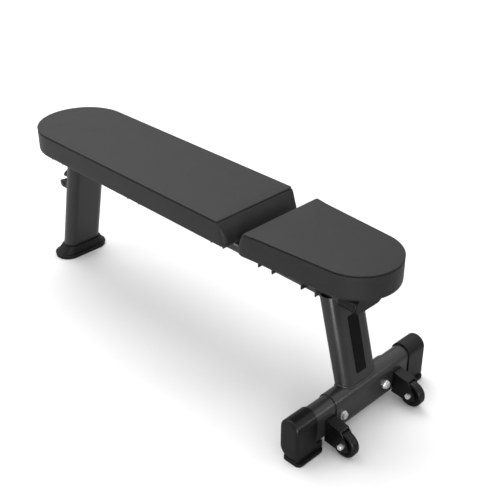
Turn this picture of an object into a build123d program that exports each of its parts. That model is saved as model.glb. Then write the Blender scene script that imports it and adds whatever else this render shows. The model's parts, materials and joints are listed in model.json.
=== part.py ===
from build123d import *
from math import acos, atan, atan2, cos, degrees, radians, sin, sqrt
import os

# Adjustable weight bench: a low steel frame that carries a long backrest and a short seat.
# +X points from the backrest's head to the front feet, +Z is up, the origin is on the floor
# below the centre of the overall size. Left is -Y, right is +Y. Millimetres.

# --- overall heights and the two pads ---
PAD_TOP = 454.0
PAD_THICKNESS = 68.0
PAD_BOTTOM = PAD_TOP - PAD_THICKNESS
PAD_WIDTH = 260.0
HEAD_CENTRE_X = -515.0
BACKREST_END_X = 222.0
GAP_CENTRE_X = 236.5
NOSE_SETBACK = 29.0
NOSE_LOWER_RADIUS = 13.0
CORNER_RADIUS = 11.0
SEAT_BACK_WIDTH = 255.0
SEAT_NOSE_X = 513.0
SEAT_NOSE_RADIUS = 106.0
BOARD_THICKNESS = 12.0
BOARD_INSET = 10.0
BOTTOM_EDGE_RADIUS = 8.0

# --- spine and legs: one flat-oval tube family ---
TUBE_WIDE = 100.0
LEG_WIDE = 120.0
TUBE_NARROW = 50.0
TUBE_WALL = 3.0
SPINE_HEIGHT = 40.0
SPINE_Z = 339.0
SPINE_TOP = SPINE_Z + SPINE_HEIGHT / 2
SPINE_BOTTOM = SPINE_Z - SPINE_HEIGHT / 2
SPINE_REAR_X = -548.0
SPINE_FRONT_X = 505.0
LEG_REFERENCE_Z = 196.0
REAR_LEG_X = -551.0
REAR_LEG_SLOPE = 0.234
REAR_LEG_BOTTOM_Z = 7.0
FRONT_LEG_X = 508.0
FRONT_LEG_SLOPE = -0.268
FRONT_LEG_BOTTOM_Z = 92.0

# --- front crossbar, its saddle, caps, feet and wheels ---
BAR_X = 538.0
BAR_Z = 66.0
BAR_HALF_LENGTH = 232.0
SADDLE_WALL = 3.0
SADDLE_HALF_LENGTH = 105.0
SADDLE_BOLT_Y = 80.0
SADDLE_BOLT_Z = 62.0
CAP_HALF_LENGTH = 238.0
CAP_INNER_Y = 173.0
CAP_WIDE = 110.0
CAP_NARROW = 56.0
FOOT_INNER_Y = 151.0
FOOT_FRONT_X = 573.0
FOOT_REAR_X = 524.0
FOOT_HEIGHT = 30.0
FOOT_CORNER = 15.0
FOOT_TUCK = 30.0
GROOVE_BOTTOM_Z = 9.0
GROOVE_TOP_Z = 12.5
WHEEL_RADIUS = 33.0
WHEEL_X = 614.0
WHEEL_Z = 34.5
WHEEL_Y = 127.0
WHEEL_WIDTH = 22.0
FORK_INNER = 25.0
PLATE = 3.0
FORK_EYE_RADIUS = 18.0
FORK_FOOT_Z = 20.0
FORK_TOP_Z = 81.0
FORK_LIP_Z = 70.5
FORK_LIP_X = 606.0
AXLE_RADIUS = 4.0

# --- pivots and the adjusting gear ---
PIVOT_Z = 394.0
BACKREST_PIVOT_X = 186.0
SEAT_PIVOT_X = 2 * GAP_CENTRE_X - 189.0
PIVOT_RADIUS = 5.0
RUNNING_CLEARANCE = 0.05
EAR_RADIUS = 9.5
EAR_INNER_Y = 20.0
EAR_THICKNESS = 8.0
BUSH_RADIUS = 7.0
LUG_INNER_Y = 30.5
LUG_THICKNESS = 6.0
POCKET_HALF_WIDTH = 46.0
POCKET_DEPTH = 19.0
POCKET_REACH = 16.0
SECTOR_RADIUS = 90.0
SECTOR_BAND = 26.0
SECTOR_INNER_Y = 54.0
SECTOR_THICKNESS = 6.0
HOLE_RADIUS = 5.3
BACKREST_POSITIONS = [0, 15, 30, 45, 60, 75]
SEAT_POSITIONS = [0, 10, 20]
PIN_RADIUS = 4.8

# --- pad frames: U channels across, flat rails along ---
CHANNEL_DEPTH = 23.0
CHANNEL_WALL = 3.0
CHANNEL_HALF_LENGTH = 101.0
BACKREST_CHANNELS = {"head": (-541.0, -489.0), "middle": (-190.0, -141.0), "pivot": (138.0, 184.0)}
SEAT_CHANNELS = {"pivot": (302.0, 349.0), "nose": (437.0, 482.0)}
RAIL_INNER_Y = 60.0
RAIL_THICKNESS = 6.0
RAIL_HEIGHT = 20.0
SCREW_Y = 86.0
SCREW_RADIUS = 4.0

os.makedirs("parts", exist_ok=True)


def save(builder, name):
    """Label one finished piece and write it."""
    builder.part.label = name
    export_step(builder.part, f"parts/{name}.step")


def span_y(y_low, y_high):
    """Extrusion plane and length for a profile drawn in X and Z and filling y_low to y_high."""
    return Plane.XZ.offset(-y_low), -(y_high - y_low)


def leg_plane(x_at_reference, slope):
    """Plane across a leaning leg, at the reference height, with the leg's wide side along Y."""
    length = sqrt(1 + slope * slope)
    return Plane(
        origin=(x_at_reference, 0, LEG_REFERENCE_Z),
        x_dir=(0, 1, 0),
        z_dir=(slope / length, 0, 1 / length),
    )


def leg_x(x_at_reference, slope, z):
    """X of a leg's centre line at the height z."""
    return x_at_reference + slope * (z - LEG_REFERENCE_Z)


# ---------------------------------------------------------------- frame: spine
with BuildPart() as spine_envelope:
    with BuildSketch(Plane.YZ.offset(SPINE_REAR_X)):
        with Locations((0, SPINE_Z)):
            SlotOverall(TUBE_WIDE, SPINE_HEIGHT)
    extrude(amount=SPINE_FRONT_X - SPINE_REAR_X)

with BuildPart() as spine_beam:
    with BuildSketch(Plane.YZ.offset(SPINE_REAR_X)):
        with Locations((0, SPINE_Z)):
            SlotOverall(TUBE_WIDE, SPINE_HEIGHT)
            SlotOverall(TUBE_WIDE - 2 * TUBE_WALL, SPINE_HEIGHT - 2 * TUBE_WALL, mode=Mode.SUBTRACT)
    extrude(amount=SPINE_FRONT_X - SPINE_REAR_X)
save(spine_beam, "spine_beam")

FRONT_PLUG_LENGTH = 52.0
REAR_PLUG_LENGTH = 5.0
PLUG_DEPTH = 22.0
for name, face_x, outward, plug_length in (
    ("front", SPINE_FRONT_X, 1, FRONT_PLUG_LENGTH),
    ("rear", SPINE_REAR_X, -1, REAR_PLUG_LENGTH),
):
    with BuildPart() as plug:
        with BuildSketch(Plane.YZ.offset(face_x)):
            with Locations((0, SPINE_Z)):
                SlotOverall(TUBE_WIDE, SPINE_HEIGHT)
        extrude(amount=outward * plug_length)
        outer_rim = plug.edges().group_by(Axis.X)[-1 if outward > 0 else 0]
        fillet(outer_rim, 3)
        with BuildSketch(Plane.YZ.offset(face_x)):
            with Locations((0, SPINE_Z)):
                SlotOverall(TUBE_WIDE - 2 * TUBE_WALL, SPINE_HEIGHT - 2 * TUBE_WALL)
                SlotOverall(TUBE_WIDE - 5 * TUBE_WALL, SPINE_HEIGHT - 5 * TUBE_WALL, mode=Mode.SUBTRACT)
        extrude(amount=-outward * PLUG_DEPTH)
    save(plug, f"spine_plug_{name}")

# ---------------------------------------------------------------- frame: rear leg, boot and handle
LEG_REACH = 260.0
with BuildPart() as rear_leg:
    with BuildSketch(leg_plane(REAR_LEG_X, REAR_LEG_SLOPE)):
        SlotOverall(LEG_WIDE, TUBE_NARROW)
        SlotOverall(LEG_WIDE - 2 * TUBE_WALL, TUBE_NARROW - 2 * TUBE_WALL, mode=Mode.SUBTRACT)
    extrude(amount=LEG_REACH, both=True)
    split(bisect_by=Plane.XY.offset(REAR_LEG_BOTTOM_Z), keep=Keep.TOP)
    split(bisect_by=Plane.XY.offset(SPINE_Z), keep=Keep.BOTTOM)
    add(spine_envelope.part, mode=Mode.SUBTRACT)
save(rear_leg, "rear_leg")

# The boot is a wide stadium base that narrows to a collar hugging the leg.
BOOT_LENGTH = 170.0
BOOT_WIDTH = 82.0
BOOT_RIM_Z = 12.0
BOOT_COLLAR_Z = 38.0
BOOT_COLLAR_WALL = 5.0
BOOT_X = leg_x(REAR_LEG_X, REAR_LEG_SLOPE, 0) + 1.0
with BuildPart() as rear_leg_envelope:
    with BuildSketch(leg_plane(REAR_LEG_X, REAR_LEG_SLOPE)):
        SlotOverall(LEG_WIDE, TUBE_NARROW)
    extrude(amount=LEG_REACH, both=True)
    split(bisect_by=Plane.XY.offset(REAR_LEG_BOTTOM_Z), keep=Keep.TOP)

with BuildPart() as rear_boot:
    with BuildSketch(Plane.XY):
        with Locations((BOOT_X, 0)):
            SlotOverall(BOOT_LENGTH, BOOT_WIDTH, rotation=90)
    extrude(amount=BOOT_RIM_Z)
    with BuildSketch(Plane.XY.offset(BOOT_RIM_Z)):
        with Locations((BOOT_X, 0)):
            SlotOverall(BOOT_LENGTH - 8, BOOT_WIDTH - 8, rotation=90)
    with BuildSketch(Plane.XY.offset(BOOT_COLLAR_Z)):
        with Locations((leg_x(REAR_LEG_X, REAR_LEG_SLOPE, BOOT_COLLAR_Z), 0)):
            SlotOverall(LEG_WIDE + 2 * BOOT_COLLAR_WALL, TUBE_NARROW + 2 * BOOT_COLLAR_WALL + 2, rotation=90)
    loft()
    add(rear_leg_envelope.part, mode=Mode.SUBTRACT)
save(rear_boot, "rear_boot")

# The carry handle stands off the rear leg's outer face, with its grip along Y.
HANDLE_Z = 250.0
HANDLE_STANDOFF = 25.0
HANDLE_HALF_WIDTH = 44.0
GRIP_RADIUS = 11.0
HANDLE_ROD_RADIUS = 6.0
HANDLE_CHEEK = 5.0
leg_lean = degrees(atan(REAR_LEG_SLOPE))
leg_face_x = leg_x(REAR_LEG_X, REAR_LEG_SLOPE, HANDLE_Z) - TUBE_NARROW / 2 * sqrt(1 + REAR_LEG_SLOPE ** 2)
grip_x = leg_face_x - HANDLE_STANDOFF
with BuildPart() as handle_bracket:
    for side in (-1, 1):
        y_outer = side * HANDLE_HALF_WIDTH
        y_inner = side * (HANDLE_HALF_WIDTH - HANDLE_CHEEK)
        plane, amount = span_y(y_inner, y_outer)
        with BuildSketch(plane):
            with Locations((grip_x, HANDLE_Z)):
                Circle(GRIP_RADIUS + 1)
            with Locations((grip_x + HANDLE_STANDOFF, HANDLE_Z)):
                Rectangle(2 * HANDLE_STANDOFF, 2 * GRIP_RADIUS + 2)
            with Locations((grip_x, HANDLE_Z)):
                Circle(HANDLE_ROD_RADIUS, mode=Mode.SUBTRACT)
        extrude(amount=amount)
        with BuildSketch(plane):
            with BuildLine():
                Polyline(
                    (leg_face_x + 26, HANDLE_Z + 30),
                    (leg_face_x - 14, HANDLE_Z + 30),
                    (leg_face_x - 12, HANDLE_Z + 38),
                    (leg_face_x + 6, HANDLE_Z + 56),
                    (leg_face_x + 26, HANDLE_Z + 56),
                    close=True,
                )
            make_face()
        extrude(amount=amount)
    add(rear_leg_envelope.part, mode=Mode.SUBTRACT)
    split(bisect_by=Plane.YZ.offset(leg_face_x + 24), keep=Keep.BOTTOM)
save(handle_bracket, "carry_handle_bracket")

with BuildPart() as handle_rod:
    plane, amount = span_y(-HANDLE_HALF_WIDTH - 2, HANDLE_HALF_WIDTH + 2)
    with BuildSketch(plane):
        with Locations((grip_x, HANDLE_Z)):
            Circle(HANDLE_ROD_RADIUS)
    extrude(amount=amount)
save(handle_rod, "carry_handle_rod")

with BuildPart() as handle_grip:
    grip_end = HANDLE_HALF_WIDTH - HANDLE_CHEEK
    plane, amount = span_y(-grip_end, grip_end)
    with BuildSketch(plane):
        with Locations((grip_x, HANDLE_Z)):
            Circle(GRIP_RADIUS)
            Circle(HANDLE_ROD_RADIUS, mode=Mode.SUBTRACT)
    extrude(amount=amount)
save(handle_grip, "carry_handle_grip")

# ---------------------------------------------------------------- frame: front crossbar and saddle
with BuildPart() as saddle_envelope:
    plane, amount = span_y(-SADDLE_HALF_LENGTH, SADDLE_HALF_LENGTH)
    with BuildSketch(plane):
        with Locations((BAR_X, BAR_Z)):
            SlotOverall(TUBE_WIDE + 2 * SADDLE_WALL, TUBE_NARROW + 2 * SADDLE_WALL, rotation=90)
    extrude(amount=amount)

with BuildPart() as bar_envelope:
    plane, amount = span_y(-BAR_HALF_LENGTH, BAR_HALF_LENGTH)
    with BuildSketch(plane):
        with Locations((BAR_X, BAR_Z)):
            SlotOverall(TUBE_WIDE, TUBE_NARROW, rotation=90)
    extrude(amount=amount)

BOLT_RADIUS = 5.0
WASHER_THICKNESS = 2.0
with BuildPart() as bolt_shanks:
    with BuildSketch(Plane.YZ.offset(BAR_X - 60)):
        with Locations((-SADDLE_BOLT_Y, SADDLE_BOLT_Z), (SADDLE_BOLT_Y, SADDLE_BOLT_Z)):
            Circle(BOLT_RADIUS)
    extrude(amount=120)

with BuildPart() as front_crossbar:
    plane, amount = span_y(-BAR_HALF_LENGTH, BAR_HALF_LENGTH)
    with BuildSketch(plane):
        with Locations((BAR_X, BAR_Z)):
            SlotOverall(TUBE_WIDE, TUBE_NARROW, rotation=90)
            SlotOverall(TUBE_WIDE - 2 * TUBE_WALL, TUBE_NARROW - 2 * TUBE_WALL, rotation=90, mode=Mode.SUBTRACT)
    extrude(amount=amount)
    add(bolt_shanks.part, mode=Mode.SUBTRACT)
save(front_crossbar, "front_crossbar")

with BuildPart() as crossbar_saddle:
    add(saddle_envelope.part)
    add(bar_envelope.part, mode=Mode.SUBTRACT)
    add(bolt_shanks.part, mode=Mode.SUBTRACT)
save(crossbar_saddle, "crossbar_saddle")

SADDLE_FACE = TUBE_NARROW / 2 + SADDLE_WALL
HEAD_HEIGHT = 6.5
HEX_RADIUS = 9.8
bolt_places = [(-SADDLE_BOLT_Y, SADDLE_BOLT_Z), (SADDLE_BOLT_Y, SADDLE_BOLT_Z)]
with BuildPart() as saddle_bolts:
    under_head_x = BAR_X + SADDLE_FACE + WASHER_THICKNESS
    with BuildSketch(Plane.YZ.offset(under_head_x)):
        with Locations(*bolt_places):
            RegularPolygon(HEX_RADIUS, 6)
    extrude(amount=HEAD_HEIGHT)
    chamfer(saddle_bolts.edges().group_by(Axis.X)[-1], 1.2)
    with BuildSketch(Plane.YZ.offset(under_head_x)):
        with Locations(*bolt_places):
            Circle(BOLT_RADIUS)
    extrude(amount=-(2 * SADDLE_FACE + 2 * WASHER_THICKNESS + 12))
save(saddle_bolts, "saddle_bolts")

with BuildPart() as saddle_washers:
    for start_x in (BAR_X + SADDLE_FACE, BAR_X - SADDLE_FACE - WASHER_THICKNESS):
        with BuildSketch(Plane.YZ.offset(start_x)):
            with Locations(*bolt_places):
                Circle(HEX_RADIUS + 2)
                Circle(BOLT_RADIUS, mode=Mode.SUBTRACT)
        extrude(amount=WASHER_THICKNESS)
save(saddle_washers, "saddle_washers")

with BuildPart() as saddle_nuts:
    with BuildSketch(Plane.YZ.offset(BAR_X - SADDLE_FACE - WASHER_THICKNESS)):
        with Locations(*bolt_places):
            RegularPolygon(HEX_RADIUS, 6)
            Circle(BOLT_RADIUS, mode=Mode.SUBTRACT)
    extrude(amount=-8)
save(saddle_nuts, "saddle_nuts")

# ---------------------------------------------------------------- frame: front leg and its plate
with BuildPart() as front_leg:
    with BuildSketch(leg_plane(FRONT_LEG_X, FRONT_LEG_SLOPE)):
        SlotOverall(LEG_WIDE, TUBE_NARROW)
        SlotOverall(LEG_WIDE - 2 * TUBE_WALL, TUBE_NARROW - 2 * TUBE_WALL, mode=Mode.SUBTRACT)
    extrude(amount=LEG_REACH, both=True)
    split(bisect_by=Plane.XY.offset(FRONT_LEG_BOTTOM_Z), keep=Keep.TOP)
    split(bisect_by=Plane.XY.offset(SPINE_Z), keep=Keep.BOTTOM)
    add(spine_envelope.part, mode=Mode.SUBTRACT)
    add(saddle_envelope.part, mode=Mode.SUBTRACT)
save(front_leg, "front_leg")

NAME_PLATE_WIDTH = 34.0
NAME_PLATE_LENGTH = 148.0
NAME_PLATE_THICKNESS = 1.5
NAME_PLATE_Z = 211.0
front_lean = 1 / sqrt(1 + FRONT_LEG_SLOPE ** 2)
name_plate_plane = Plane(
    origin=(leg_x(FRONT_LEG_X, FRONT_LEG_SLOPE, NAME_PLATE_Z) + TUBE_NARROW / 2 / front_lean, 0, NAME_PLATE_Z),
    x_dir=(0, 1, 0),
    z_dir=(front_lean, 0, -FRONT_LEG_SLOPE * front_lean),
)
with BuildPart() as name_plate:
    with BuildSketch(name_plate_plane):
        RectangleRounded(NAME_PLATE_WIDTH, NAME_PLATE_LENGTH, 3)
    extrude(amount=NAME_PLATE_THICKNESS)
save(name_plate, "blank_name_plate")

# ---------------------------------------------------------------- frame: caps, feet and wheels
for name, side in (("left", -1), ("right", 1)):
    with BuildPart() as cap_envelope:
        plane, amount = span_y(side * CAP_INNER_Y, side * CAP_HALF_LENGTH)
        with BuildSketch(plane):
            with Locations((BAR_X, BAR_Z)):
                SlotOverall(CAP_WIDE, CAP_NARROW, rotation=90)
            with Locations((BAR_X + CAP_NARROW / 4, (BAR_Z + GROOVE_TOP_Z) / 2)):
                Rectangle(CAP_NARROW / 2, BAR_Z - GROOVE_TOP_Z)
        extrude(amount=amount)

    with BuildPart() as end_cap:
        add(cap_envelope.part)
        end_rim = end_cap.edges().group_by(Axis.Y)[0 if side < 0 else -1]
        fillet(end_rim, 5)
        add(bar_envelope.part, mode=Mode.SUBTRACT)
    save(end_cap, f"end_cap_{name}")

    with BuildPart() as foot:
        plane, amount = span_y(side * FOOT_INNER_Y, side * CAP_HALF_LENGTH)
        cap_face_x = BAR_X + CAP_NARROW / 2
        with BuildSketch(plane):
            with BuildLine():
                Polyline(
                    (FOOT_REAR_X + 3, 0),
                    (FOOT_FRONT_X - 3, 0),
                    (FOOT_FRONT_X, 3),
                    (FOOT_FRONT_X, GROOVE_BOTTOM_Z),
                    (cap_face_x - 6, GROOVE_BOTTOM_Z),
                    (cap_face_x - 6, GROOVE_TOP_Z),
                    (cap_face_x, GROOVE_TOP_Z),
                    (cap_face_x, FOOT_HEIGHT),
                    (FOOT_REAR_X, FOOT_HEIGHT),
                    (FOOT_REAR_X, 3),
                    close=True,
                )
            make_face()
        extrude(amount=amount)
        with BuildSketch(Plane.XY):
            with Locations(((FOOT_FRONT_X + FOOT_REAR_X - FOOT_TUCK) / 2, side * (FOOT_INNER_Y + CAP_HALF_LENGTH) / 2)):
                RectangleRounded(
                    FOOT_FRONT_X - FOOT_REAR_X + FOOT_TUCK,
                    CAP_HALF_LENGTH - FOOT_INNER_Y,
                    FOOT_CORNER,
                )
        extrude(amount=FOOT_HEIGHT, mode=Mode.INTERSECT)
        add(cap_envelope.part, mode=Mode.SUBTRACT)
        add(bar_envelope.part, mode=Mode.SUBTRACT)
    save(foot, f"rubber_foot_{name}")

    wheel_centre_y = side * WHEEL_Y
    bar_face_x = BAR_X + TUBE_NARROW / 2
    with BuildPart() as wheel_fork:
        fork_half = FORK_INNER / 2
        for y_low, y_high, hollow in (
            (-fork_half - PLATE, -fork_half, False),
            (-fork_half, fork_half, True),
            (fork_half, fork_half + PLATE, False),
        ):
            plane, amount = span_y(wheel_centre_y + y_low, wheel_centre_y + y_high)
            with BuildSketch(plane):
                with Locations((WHEEL_X, WHEEL_Z)):
                    Circle(FORK_EYE_RADIUS)
                with Locations((bar_face_x + PLATE / 2, FORK_FOOT_Z / 2 + FORK_TOP_Z / 2)):
                    Rectangle(PLATE, FORK_TOP_Z - FORK_FOOT_Z)
                with Locations((FORK_LIP_X, FORK_LIP_Z)):
                    Circle(PLATE)
                make_hull()
                if hollow:
                    with Locations((WHEEL_X, WHEEL_Z)):
                        Circle(WHEEL_RADIUS + 4, mode=Mode.SUBTRACT)
                    with BuildLine():
                        Polyline(
                            (bar_face_x + PLATE, FORK_FOOT_Z - 40),
                            (bar_face_x + PLATE, FORK_TOP_Z - 8),
                            (FORK_LIP_X + 2 * PLATE, FORK_LIP_Z - PLATE),
                            (WHEEL_X + 40, FORK_FOOT_Z - 40),
                            close=True,
                        )
                    make_face(mode=Mode.SUBTRACT)
                else:
                    with Locations((WHEEL_X, WHEEL_Z)):
                        Circle(AXLE_RADIUS, mode=Mode.SUBTRACT)
            extrude(amount=amount)
    save(wheel_fork, f"wheel_fork_{name}")

    with BuildPart() as wheel_hub:
        plane, amount = span_y(wheel_centre_y - FORK_INNER / 2 + 0.4, wheel_centre_y + FORK_INNER / 2 - 0.4)
        with BuildSketch(plane):
            with Locations((WHEEL_X, WHEEL_Z)):
                Circle(8)
        extrude(amount=amount)
        plane, amount = span_y(wheel_centre_y - WHEEL_WIDTH / 2 + 2, wheel_centre_y + WHEEL_WIDTH / 2 - 2)
        with BuildSketch(plane):
            with Locations((WHEEL_X, WHEEL_Z)):
                Circle(21)
        extrude(amount=amount)
        plane, amount = span_y(wheel_centre_y - 40, wheel_centre_y + 40)
        with BuildSketch(plane):
            with Locations((WHEEL_X, WHEEL_Z)):
                Circle(AXLE_RADIUS + RUNNING_CLEARANCE)
        extrude(amount=amount, mode=Mode.SUBTRACT)
    save(wheel_hub, f"wheel_hub_{name}")

    with BuildPart() as wheel_tyre:
        plane, amount = span_y(wheel_centre_y - WHEEL_WIDTH / 2, wheel_centre_y + WHEEL_WIDTH / 2)
        with BuildSketch(plane):
            with Locations((WHEEL_X, WHEEL_Z)):
                Circle(WHEEL_RADIUS)
                Circle(21, mode=Mode.SUBTRACT)
        extrude(amount=amount)
        tread_edges = wheel_tyre.edges().filter_by(GeomType.CIRCLE).sort_by(SortBy.RADIUS)[-2:]
        fillet(tread_edges, 4)
    save(wheel_tyre, f"wheel_tyre_{name}")

AXLE_HEX_RADIUS = 7.5
with BuildPart() as axle_bolts:
    for side in (-1, 1):
        head_y = side * (WHEEL_Y - FORK_INNER / 2 - PLATE)
        plane, amount = span_y(head_y - side * 5.5, head_y)
        with BuildSketch(plane):
            with Locations((WHEEL_X, WHEEL_Z)):
                RegularPolygon(AXLE_HEX_RADIUS, 6)
        extrude(amount=amount)
        plane, amount = span_y(head_y, side * (WHEEL_Y + FORK_INNER / 2 + PLATE + 10))
        with BuildSketch(plane):
            with Locations((WHEEL_X, WHEEL_Z)):
                Circle(AXLE_RADIUS)
        extrude(amount=amount)
save(axle_bolts, "axle_bolts")

with BuildPart() as axle_nuts:
    for side in (-1, 1):
        nut_y = side * (WHEEL_Y + FORK_INNER / 2 + PLATE)
        plane, amount = span_y(nut_y, nut_y + side * 7)
        with BuildSketch(plane):
            with Locations((WHEEL_X, WHEEL_Z)):
                RegularPolygon(AXLE_HEX_RADIUS, 6)
                Circle(AXLE_RADIUS, mode=Mode.SUBTRACT)
        extrude(amount=amount)
save(axle_nuts, "axle_nuts")

# ---------------------------------------------------------------- frame: pivot ears, bushes, bumpers
for name, pivot_x in (("backrest", BACKREST_PIVOT_X), ("seat", SEAT_PIVOT_X)):
    with BuildPart() as pivot_ears:
        for side in (-1, 1):
            plane, amount = span_y(side * EAR_INNER_Y, side * (EAR_INNER_Y + EAR_THICKNESS))
            with BuildSketch(plane):
                with Locations((pivot_x, PIVOT_Z)):
                    Circle(EAR_RADIUS)
                with Locations((pivot_x, SPINE_TOP + 1)):
                    Rectangle(2 * EAR_RADIUS + 4, 2)
                make_hull()
                with Locations((pivot_x, PIVOT_Z)):
                    Circle(BUSH_RADIUS, mode=Mode.SUBTRACT)
            extrude(amount=amount)
    save(pivot_ears, f"{name}_pivot_ears")

with BuildPart() as pivot_bushes:
    for pivot_x in (BACKREST_PIVOT_X, SEAT_PIVOT_X):
        for side in (-1, 1):
            plane, amount = span_y(side * EAR_INNER_Y, side * (EAR_INNER_Y + EAR_THICKNESS))
            with BuildSketch(plane):
                with Locations((pivot_x, PIVOT_Z)):
                    Circle(BUSH_RADIUS)
                    Circle(PIVOT_RADIUS + RUNNING_CLEARANCE, mode=Mode.SUBTRACT)
            extrude(amount=amount)
            flange_y = side * (EAR_INNER_Y + EAR_THICKNESS)
            plane, amount = span_y(flange_y, flange_y + side * 1.5)
            with BuildSketch(plane):
                with Locations((pivot_x, PIVOT_Z)):
                    Circle(BUSH_RADIUS + 1.5)
                    Circle(PIVOT_RADIUS + RUNNING_CLEARANCE, mode=Mode.SUBTRACT)
            extrude(amount=amount)
save(pivot_bushes, "pivot_bushes")

BUMPER_GAP = 0.3
BUMPER_HALF_WIDTH = 27.0
with BuildPart() as rest_bumpers:
    resting = [BACKREST_CHANNELS["head"], BACKREST_CHANNELS["middle"], SEAT_CHANNELS["nose"]]
    for low_x, high_x in resting:
        with BuildSketch(Plane.XY.offset(SPINE_TOP)):
            with Locations(((low_x + high_x) / 2, 0)):
                RectangleRounded(high_x - low_x - 4, 2 * BUMPER_HALF_WIDTH, 3)
        extrude(amount=PAD_BOTTOM - CHANNEL_DEPTH - BUMPER_GAP - SPINE_TOP)
save(rest_bumpers, "rest_bumpers")

# ---------------------------------------------------------------- frame: pull-pin brackets and housings
PIN_DROP = PIVOT_Z - SPINE_Z
PIN_REACH = sqrt(SECTOR_RADIUS ** 2 - PIN_DROP ** 2)
BRACKET_INNER_Y = 66.0
BRACKET_THICKNESS = 5.0
HOUSING_START_Y = 62.0
HOUSING_END_Y = 91.0
HOUSING_RADIUS = 9.0
SPRING_CAVITY_RADIUS = 6.8
STEM_RADIUS = 3.0
COLLAR_RADIUS = 6.4
COLLAR_Y = 74.0
KNOB_START_Y = 99.5

pin_places = {
    "backrest": (BACKREST_PIVOT_X - PIN_REACH, -1),
    "seat": (SEAT_PIVOT_X + PIN_REACH, 1),
}
for name, (pin_x, away) in pin_places.items():
    with BuildPart() as pin_bracket:
        plane, amount = span_y(BRACKET_INNER_Y, BRACKET_INNER_Y + BRACKET_THICKNESS)
        with BuildSketch(plane):
            with Locations((pin_x + away * 30, SPINE_Z)):
                SlotOverall(94, 30)
            with Locations((pin_x, SPINE_Z)):
                Circle(HOUSING_RADIUS, mode=Mode.SUBTRACT)
        extrude(amount=amount)
        plane, amount = span_y(40, BRACKET_INNER_Y)
        with BuildSketch(plane):
            with Locations((pin_x + away * 55, SPINE_Z)):
                Rectangle(36, 24)
        extrude(amount=amount)
        add(spine_envelope.part, mode=Mode.SUBTRACT)
    save(pin_bracket, f"{name}_pin_bracket")

    with BuildPart() as pin_housing:
        bores = (
            (HOUSING_START_Y, 65, PIN_RADIUS + RUNNING_CLEARANCE),
            (65, 88, SPRING_CAVITY_RADIUS),
            (88, HOUSING_END_Y, STEM_RADIUS + RUNNING_CLEARANCE),
        )
        for y_low, y_high, bore_radius in bores:
            plane, amount = span_y(y_low, y_high)
            with BuildSketch(plane):
                with Locations((pin_x, SPINE_Z)):
                    Circle(HOUSING_RADIUS)
                    Circle(bore_radius, mode=Mode.SUBTRACT)
            extrude(amount=amount)
    save(pin_housing, f"{name}_pin_housing")

    with BuildPart() as pull_pin:
        steps = (
            (SECTOR_INNER_Y + SECTOR_THICKNESS + 0.5, COLLAR_Y, PIN_RADIUS),
            (COLLAR_Y, COLLAR_Y + 2, COLLAR_RADIUS),
            (COLLAR_Y + 2, KNOB_START_Y + 14, STEM_RADIUS),
        )
        for y_low, y_high, step_radius in steps:
            plane, amount = span_y(y_low, y_high)
            with BuildSketch(plane):
                with Locations((pin_x, SPINE_Z)):
                    Circle(step_radius)
            extrude(amount=amount)
        nose_edge = pull_pin.edges().filter_by(GeomType.CIRCLE).sort_by(Axis.Y)[0]
        chamfer(nose_edge, 1)
    save(pull_pin, f"{name}_pull_pin")

    with BuildPart() as pin_knob:
        plane, amount = span_y(KNOB_START_Y, KNOB_START_Y + 20)
        with BuildSketch(plane):
            with Locations((pin_x, SPINE_Z)):
                Circle(13)
        extrude(amount=amount)
        fillet(pin_knob.edges().sort_by(Axis.Y)[-1], 6)
        fillet(pin_knob.edges().filter_by(GeomType.CIRCLE).sort_by(Axis.Y)[0], 3)
        plane, amount = span_y(KNOB_START_Y - 1, KNOB_START_Y + 14)
        with BuildSketch(plane):
            with Locations((pin_x, SPINE_Z)):
                Circle(STEM_RADIUS)
        extrude(amount=amount, mode=Mode.SUBTRACT)
    save(pin_knob, f"{name}_pin_knob")

with BuildPart() as housing_nuts:
    plane, amount = span_y(BRACKET_INNER_Y + BRACKET_THICKNESS, BRACKET_INNER_Y + BRACKET_THICKNESS + 6)
    for pin_x, away in pin_places.values():
        with BuildSketch(plane):
            with Locations((pin_x, SPINE_Z)):
                RegularPolygon(15, 6)
                Circle(HOUSING_RADIUS, mode=Mode.SUBTRACT)
        extrude(amount=amount)
save(housing_nuts, "pin_housing_nuts")


# ---------------------------------------------------------------- pads
def nose_block(mirrored):
    """A block with the pads' side outline: at the gap end a sloping curve runs from the top edge to
    the bulge, then a small arc to the underside. It is wider and longer than either pad."""
    flip = (lambda x: 2 * GAP_CENTRE_X - x) if mirrored else (lambda x: x)
    bulge = BACKREST_END_X
    top = bulge - NOSE_SETBACK
    far = bulge - 1200
    arc_z = PAD_BOTTOM + NOSE_LOWER_RADIUS
    arc_step = NOSE_LOWER_RADIUS * (1 - sqrt(0.5))
    with BuildPart() as block:
        with BuildSketch(Plane.XZ):
            with BuildLine():
                Line((flip(far), PAD_TOP), (flip(top), PAD_TOP))
                ThreePointArc((flip(top), PAD_TOP), (flip(top + 18), PAD_TOP - 20.5), (flip(bulge), arc_z))
                ThreePointArc(
                    (flip(bulge), arc_z),
                    (flip(bulge - arc_step), PAD_BOTTOM + arc_step),
                    (flip(bulge - NOSE_LOWER_RADIUS), PAD_BOTTOM),
                )
                Line((flip(bulge - NOSE_LOWER_RADIUS), PAD_BOTTOM), (flip(far), PAD_BOTTOM))
                Line((flip(far), PAD_BOTTOM), (flip(far), PAD_TOP))
            make_face()
        extrude(amount=PAD_WIDTH, both=True)
    return block.part


def backrest_outline():
    """Plan outline of the backrest: straight sides, a round head and rounded gap corners."""
    with BuildSketch(Plane.XY.offset(PAD_BOTTOM)) as outline:
        with Locations(((HEAD_CENTRE_X + BACKREST_END_X) / 2, 0)):
            Rectangle(BACKREST_END_X - HEAD_CENTRE_X, PAD_WIDTH)
        fillet(outline.vertices().group_by(Axis.X)[-1], CORNER_RADIUS)
        with Locations((HEAD_CENTRE_X, 0)):
            Circle(PAD_WIDTH / 2)
    return outline.sketch


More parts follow.
